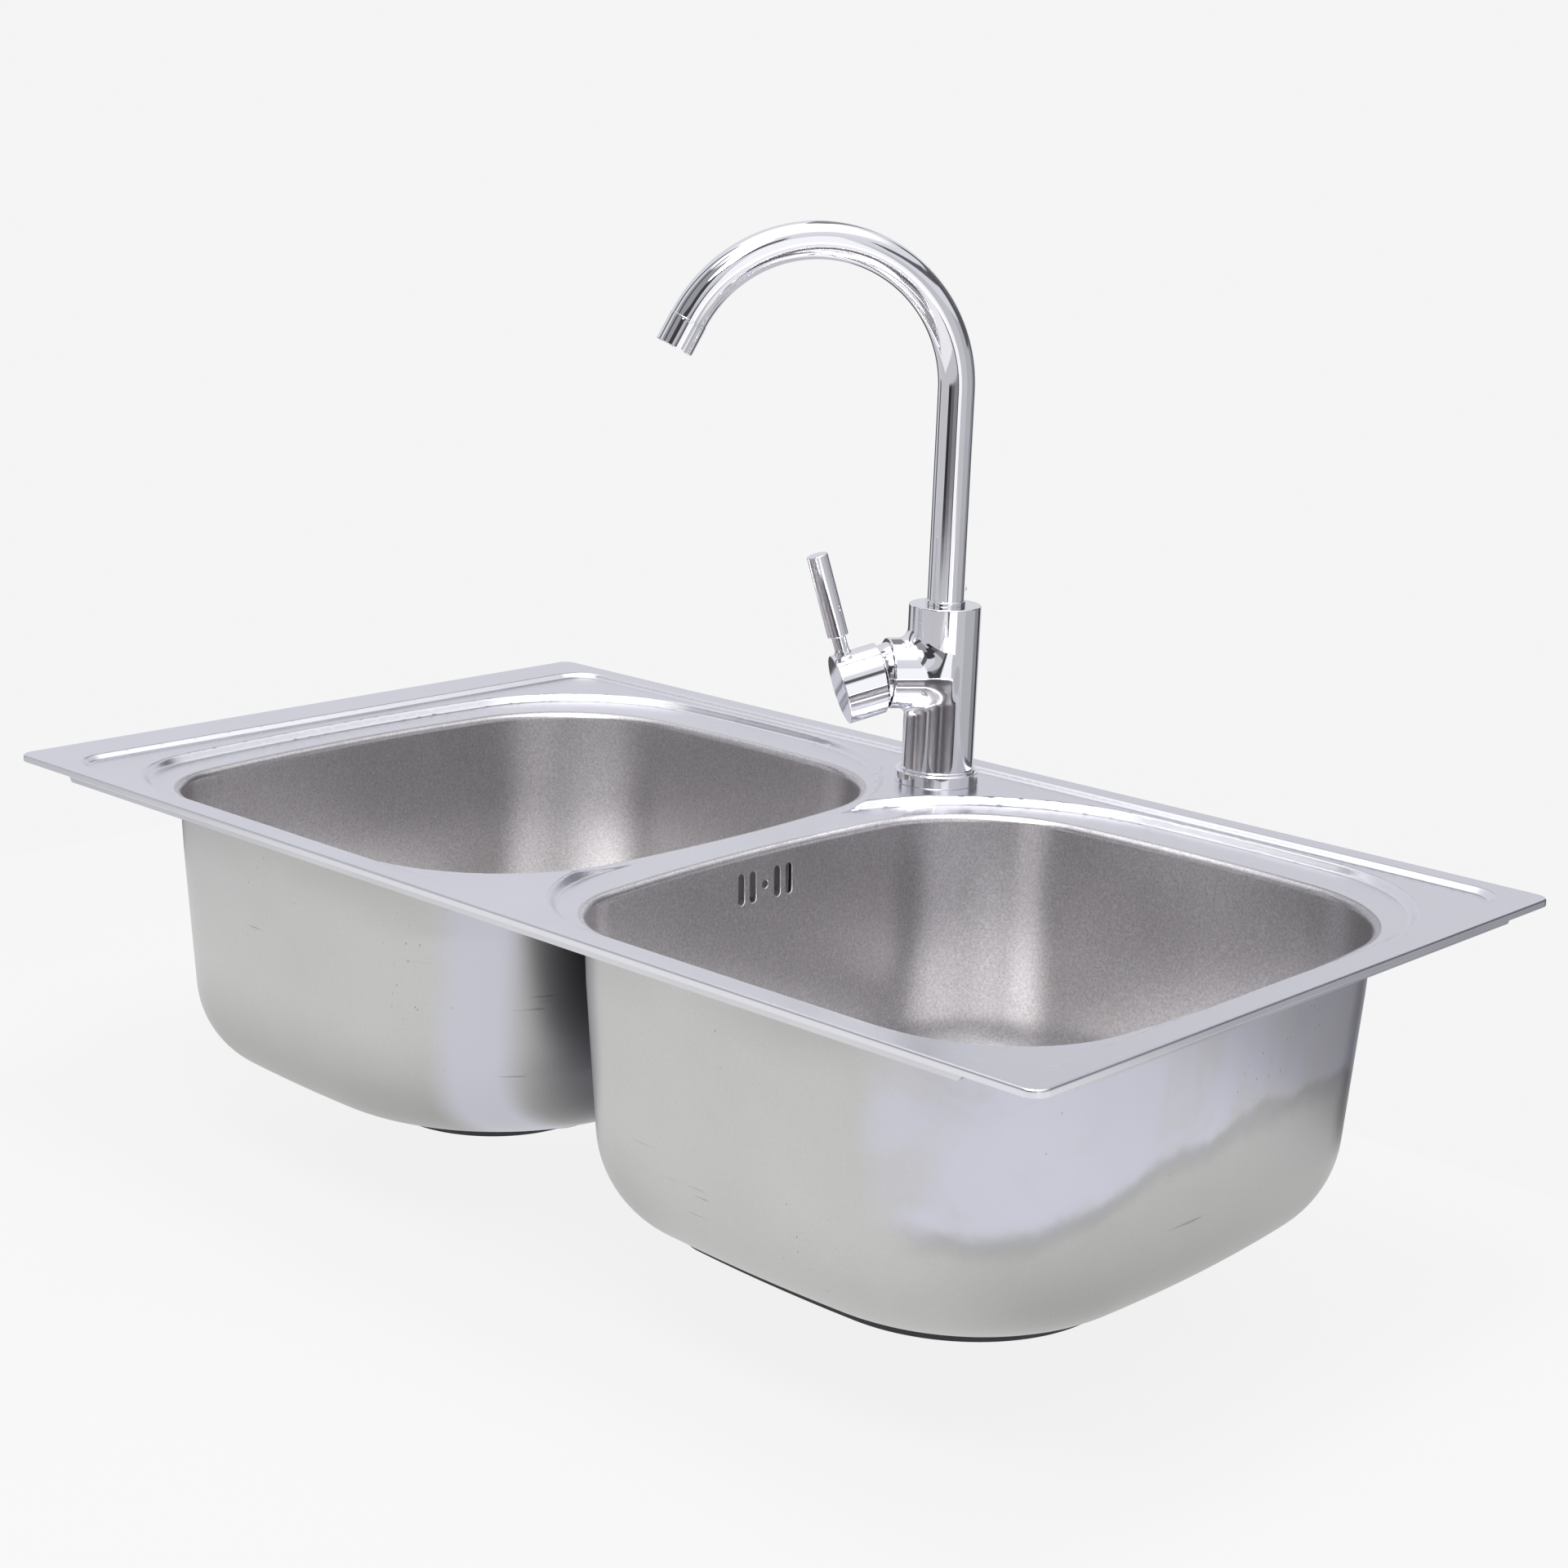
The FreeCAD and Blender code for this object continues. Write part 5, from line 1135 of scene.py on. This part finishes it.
cap()
ROD_S, NECK0 = 30.7, 22.8
F_ROD = F_CAP @ mat4((0, 1, 0), (0, 0, 1), (1, 0, 0), (NECK0, 0, ROD_S))
lathe("chrome_lever_neck", [(0, -12, 0), (2.5, -12, 0), (2.5, 0, 0), (5.8, 0, 0), (5.8, 1.2, 0.5), (5.05, 2.7, 0.9), (4.75, 4.6, 2.0), (4.75, 13.5, 0), (3.0, 13.5, 0), (3.0, 22.5, 0), (0, 22.5, 0)],
      n=96, frame_m=F_ROD, body="lever", replaces=("lever_neck",), slot="chrome", mats=(M_CHROME,))
lathe("chrome_lever_rod", [(0, 22.6, 0), (3.03, 22.6, 0), (3.03, 13.5, 0), (7.1, 13.5, 0.7), (7.1, 70.3, 0.6), (0, 70.3, 0)],
      n=96, frame_m=F_ROD, body="lever", replaces=("lever_rod",), slot="chrome", mats=(M_CHROME,))


# spout
def spout():
    n = 96
    th = np.linspace(0, 2 * PI, n, endpoint=False)
    sdir = math.radians(235.0)
    ux = np.array([math.cos(sdir), math.sin(sdir), 0.0])
    uy = np.array([-math.sin(sdir), math.cos(sdir), 0.0])
    rs, zb, sw = 95.3, 264.0, math.radians(153.0)
    path = [(0.0, 100.5, 0.0), (0.0, 118.0, 0.0), (0.0, 160.0, 0.0), (0.0, 220.0, 0.0)]
    m = 90
    for k in range(m + 1):
        a = sw * k / m
        path.append((rs - rs * math.cos(a), zb + rs * math.sin(a), a))
    acc = Acc()

    def shell(r, sgn, flip):
        V, N = [], []
        for x, z, a in path:
            o = TAP + ux * x + np.array([0, 0, z])
            t = ux * math.sin(a) + np.array([0, 0, math.cos(a)])
            e1 = np.cross(uy, t)
            d = np.cos(th)[:, None] * e1 + np.sin(th)[:, None] * uy
            V.append(o + r * d); N.append(sgn * d)
        acc.add(np.vstack(V), np.vstack(N), grid_faces(len(path), n, flip=flip))
        return V[0], V[-1], t
    a0, a1, t = shell(12.25, 1.0, False)
    b0, b1, t = shell(10.6, -1.0, True)
    acc.add(np.vstack([a1, b1]), np.tile(t, (2 * n, 1)), grid_faces(2, n))
    acc.add(np.vstack([a0, b0]), np.tile([0, 0, -1.0], (2 * n, 1)), grid_faces(2, n, flip=True))
    acc.obj("chrome_spout", body="spout", replaces=("spout_tube",), slot="chrome", mats=(M_CHROME,))
    x, z, a = path[-1]
    o = TAP + ux * x + np.array([0, 0, z])
    fr = mat4(np.cross(uy, t), uy, t, o)
    lathe("chrome_aerator", [(8.2, -6, 0), (10.55, -6, 0), (10.55, 0, 0), (12.6, 0, 0.35), (12.6, 1.3, 0.0), (12.3, 1.55, 0.0), (12.6, 1.8, 0.0), (12.6, 20.0, 0.8), (10.3, 20.0, 0.4),
                             (10.3, 8.0, 0), (8.2, 8.0, 0), (8.2, -6, 0)],
          n=128, frame_m=fr, body="spout", replaces=("aerator_housing",), slot="chrome", mats=(M_CHROME,))


spout()

# ------------------------------------------------------------------ floor, light, camera
PALE = (0.912, 0.912, 0.914)
floor_z = -0.2542
me = bpy.data.meshes.new("studio_floor")
FX0, FX1, FY0, FY1 = -1.0, 1.5, -1.4, 0.42
me.from_pydata([(FX0, FY0, floor_z), (FX1, FY0, floor_z), (FX1, FY1, floor_z), (FX0, FY1, floor_z)], [], [(0, 1, 2, 3)])
fl = bpy.data.objects.new("studio_floor", me)
bpy.context.scene.collection.objects.link(fl)
m, nt, b = new_mat("floor_pale")
b.inputs["Base Color"].default_value = (0.05, 0.05, 0.05, 1)
b.inputs["Roughness"].default_value = 1.0
b.inputs["Specular IOR Level"].default_value = 0.0
b.inputs["Emission Color"].default_value = (*PALE, 1)
b.inputs["Emission Strength"].default_value = 0.945
tc = nd(nt, "ShaderNodeTexCoord")
nz = nd(nt, "ShaderNodeTexNoise", Scale=2.0, Detail=3.0)
nt.links.new(tc.outputs["Object"], nz.inputs["Vector"])
cr = ramp(nt, 0.3, 0.7, (0.048, 0.048, 0.049, 1), (0.052, 0.052, 0.053, 1))
nt.links.new(nz.outputs["Fac"], cr.inputs["Fac"])
nt.links.new(cr.outputs["Color"], b.inputs["Base Color"])
me.materials.append(m)

bpy.context.scene.view_settings.view_transform = "Standard"
w = bpy.data.worlds.new("studio")
bpy.context.scene.world = w
w.use_nodes = True
wt = w.node_tree
WL = wt.links.new
tc = nd(wt, "ShaderNodeTexCoord")
sep = nd(wt, "ShaderNodeSeparateXYZ")
WL(tc.outputs["Generated"], sep.inputs[0])
waz = nd(wt, "ShaderNodeMath", operation="ARCTAN2")
WL(sep.outputs["Y"], waz.inputs[0]); WL(sep.outputs["X"], waz.inputs[1])
wel = nd(wt, "ShaderNodeMath", operation="ARCSINE")
WL(sep.outputs["Z"], wel.inputs[0])


def span(src, lo, hi, soft):
    """1 inside lo..hi (degrees), falling to 0 over soft degrees outside."""
    c, h = math.radians((lo + hi) / 2), math.radians((hi - lo) / 2)
    a = nd(wt, "ShaderNodeMath", operation="SUBTRACT"); a.inputs[1].default_value = c
    WL(src, a.inputs[0])
    if src == waz.outputs[0]:
        q = nd(wt, "ShaderNodeMath", operation="WRAP"); q.inputs[1].default_value = PI; q.inputs[2].default_value = -PI
        WL(a.outputs[0], q.inputs[0]); a = q
    q = nd(wt, "ShaderNodeMath", operation="ABSOLUTE"); WL(a.outputs[0], q.inputs[0])
    r = nd(wt, "ShaderNodeMapRange", interpolation_type="SMOOTHSTEP")
    r.inputs["From Min"].default_value = h
    r.inputs["From Max"].default_value = h + math.radians(soft)
    r.inputs["To Min"].default_value = 1.0
    r.inputs["To Max"].default_value = 0.0
    WL(q.outputs[0], r.inputs["Value"])
    return r.outputs["Result"]


def flag(level, az0, az1, el0, el1, gray, soft=2.0):
    """Dark card or gap in the white surround, as the polished parts mirror it."""
    a, b = span(waz.outputs[0], az0, az1, soft), span(wel.outputs[0], el0, el1, soft)
    mm = nd(wt, "ShaderNodeMath", operation="MULTIPLY"); WL(a, mm.inputs[0]); WL(b, mm.inputs[1])
    mx = nd(wt, "ShaderNodeMix", data_type="RGBA"); WL(mm.outputs[0], mx.inputs[0])
    WL(level, mx.inputs[6]); mx.inputs[7].default_value = (*gray, 1)
    return mx.outputs[2]


top = nd(wt, "ShaderNodeMapRange")
top.inputs["From Min"].default_value = math.radians(-30)
top.inputs["From Max"].default_value = math.radians(70)
WL(wel.outputs[0], top.inputs["Value"])
base = ramp(wt, 0.0, 1.0, (0.56, 0.56, 0.60, 1), (1.6, 1.6, 1.6, 1), mid=(0.40, (0.72, 0.72, 0.77, 1)))
for q, g in ((0.78, (0.80, 0.80, 0.84, 1)), (0.90, (1.5, 1.5, 1.5, 1))):
    e = base.color_ramp.elements.new(q)
    e.color = g
WL(top.outputs["Result"], base.inputs["Fac"])
lev = base.outputs["Color"]
FLAGS = [(-150, 110, -60, 14, (0.58, 0.58, 0.605)), (-140, -76, 16, 50, (0.34, 0.34, 0.36)), (20, 62, -24, 14, (0.47, 0.47, 0.50)), (62, 100, -24, 14, (0.27, 0.27, 0.29)),
         (-38, -12, -34, -10, (1.6, 1.6, 1.62)), (-36, -18, -10, 24, (1.05, 1.05, 1.08)), (-97, -80, -8.5, 6, (0.03, 0.03, 0.035)), (-80, -62, -8.2, 6, (0.13, 0.13, 0.14)),
         (-62, -40, -8, 6, (0.25, 0.25, 0.26)), (-39.5, -36.5, -22, 8, (0.06, 0.06, 0.065)), (-84, -66, 6, 22, (0.05, 0.05, 0.055)), (-74, -58, 14, 34, (0.05, 0.05, 0.06)),
         (138, 168, -40, -4, (0.10, 0.10, 0.105)), (84, 98, -30, 40, (0.06, 0.06, 0.07)), (-172, -160, -10, 60, (0.14, 0.14, 0.16)), (-122, -114, 8, 60, (0.07, 0.07, 0.09)),
         (116, 131, 26, 60, (0.27, 0.27, 0.28)), (-60, -32, 29, 37, (0.12, 0.12, 0.13)), (0, 52, 29, 37, (0.12, 0.12, 0.13)), (50, 80, 8, 34, (0.10, 0.10, 0.11))]
for a0, a1, e0, e1, g in FLAGS:
    lev = flag(lev, a0, a1, e0, e1, g)
lp = nd(wt, "ShaderNodeLightPath")
seen = nd(wt, "ShaderNodeMix", data_type="RGBA")
WL(lp.outputs["Is Camera Ray"], seen.inputs[0])
WL(lev, seen.inputs[6]); seen.inputs[7].default_value = (*PALE, 1)
WL(seen.outputs[2], wt.nodes["Background"].inputs["Color"])
wt.nodes["Background"].inputs["Strength"].default_value = 1.0


def area(name, loc, target, size, power, color=(1, 1, 1), sy=None):
    L = bpy.data.lights.new(name, "AREA")
    L.energy, L.size, L.color = power, size, color
    if sy:
        L.shape, L.size_y = "RECTANGLE", sy
    o = bpy.data.objects.new(name, L)
    bpy.context.scene.collection.objects.link(o)
    o.location = loc
    o.rotation_euler = (Vector(target) - Vector(loc)).to_track_quat("-Z", "Y").to_euler()
    return o


area("key_soft", (0.33, -0.15, 1.9), (0.2, 0, 0), 0.6, 18.0)
area("key_bowl", (0.42, -0.78, 1.25), (0.2, 0.06, -0.15), 0.5, 11.0)

F = 3461.85
az, el, roll = [math.radians(v) for v in (42.239, 14.162, 2.198)]
f = np.array([-math.sin(az) * math.cos(el), math.cos(az) * math.cos(el), -math.sin(el)])
r = np.cross(f, [0, 0, 1]); r /= np.linalg.norm(r)
u = np.cross(r, f)
c, s = math.cos(roll), math.sin(roll)
r, u = c * r + s * u, -s * r + c * u
cam = bpy.data.cameras.new("camera")
cam.sensor_fit = "HORIZONTAL"
cam.sensor_width = 36.0
cam.lens = 36.0 * F / 1920.0
cam.clip_start, cam.clip_end = 0.05, 60.0
co = bpy.data.objects.new("camera", cam)
bpy.context.scene.collection.objects.link(co)
p = np.array([1179.628, -1260.938, 460.882 + TOP]) * 0.001
co.matrix_world = Matrix([[r[0], u[0], -f[0], p[0]], [r[1], u[1], -f[1], p[1]], [r[2], u[2], -f[2], p[2]], [0, 0, 0, 1]])
bpy.context.scene.camera = co
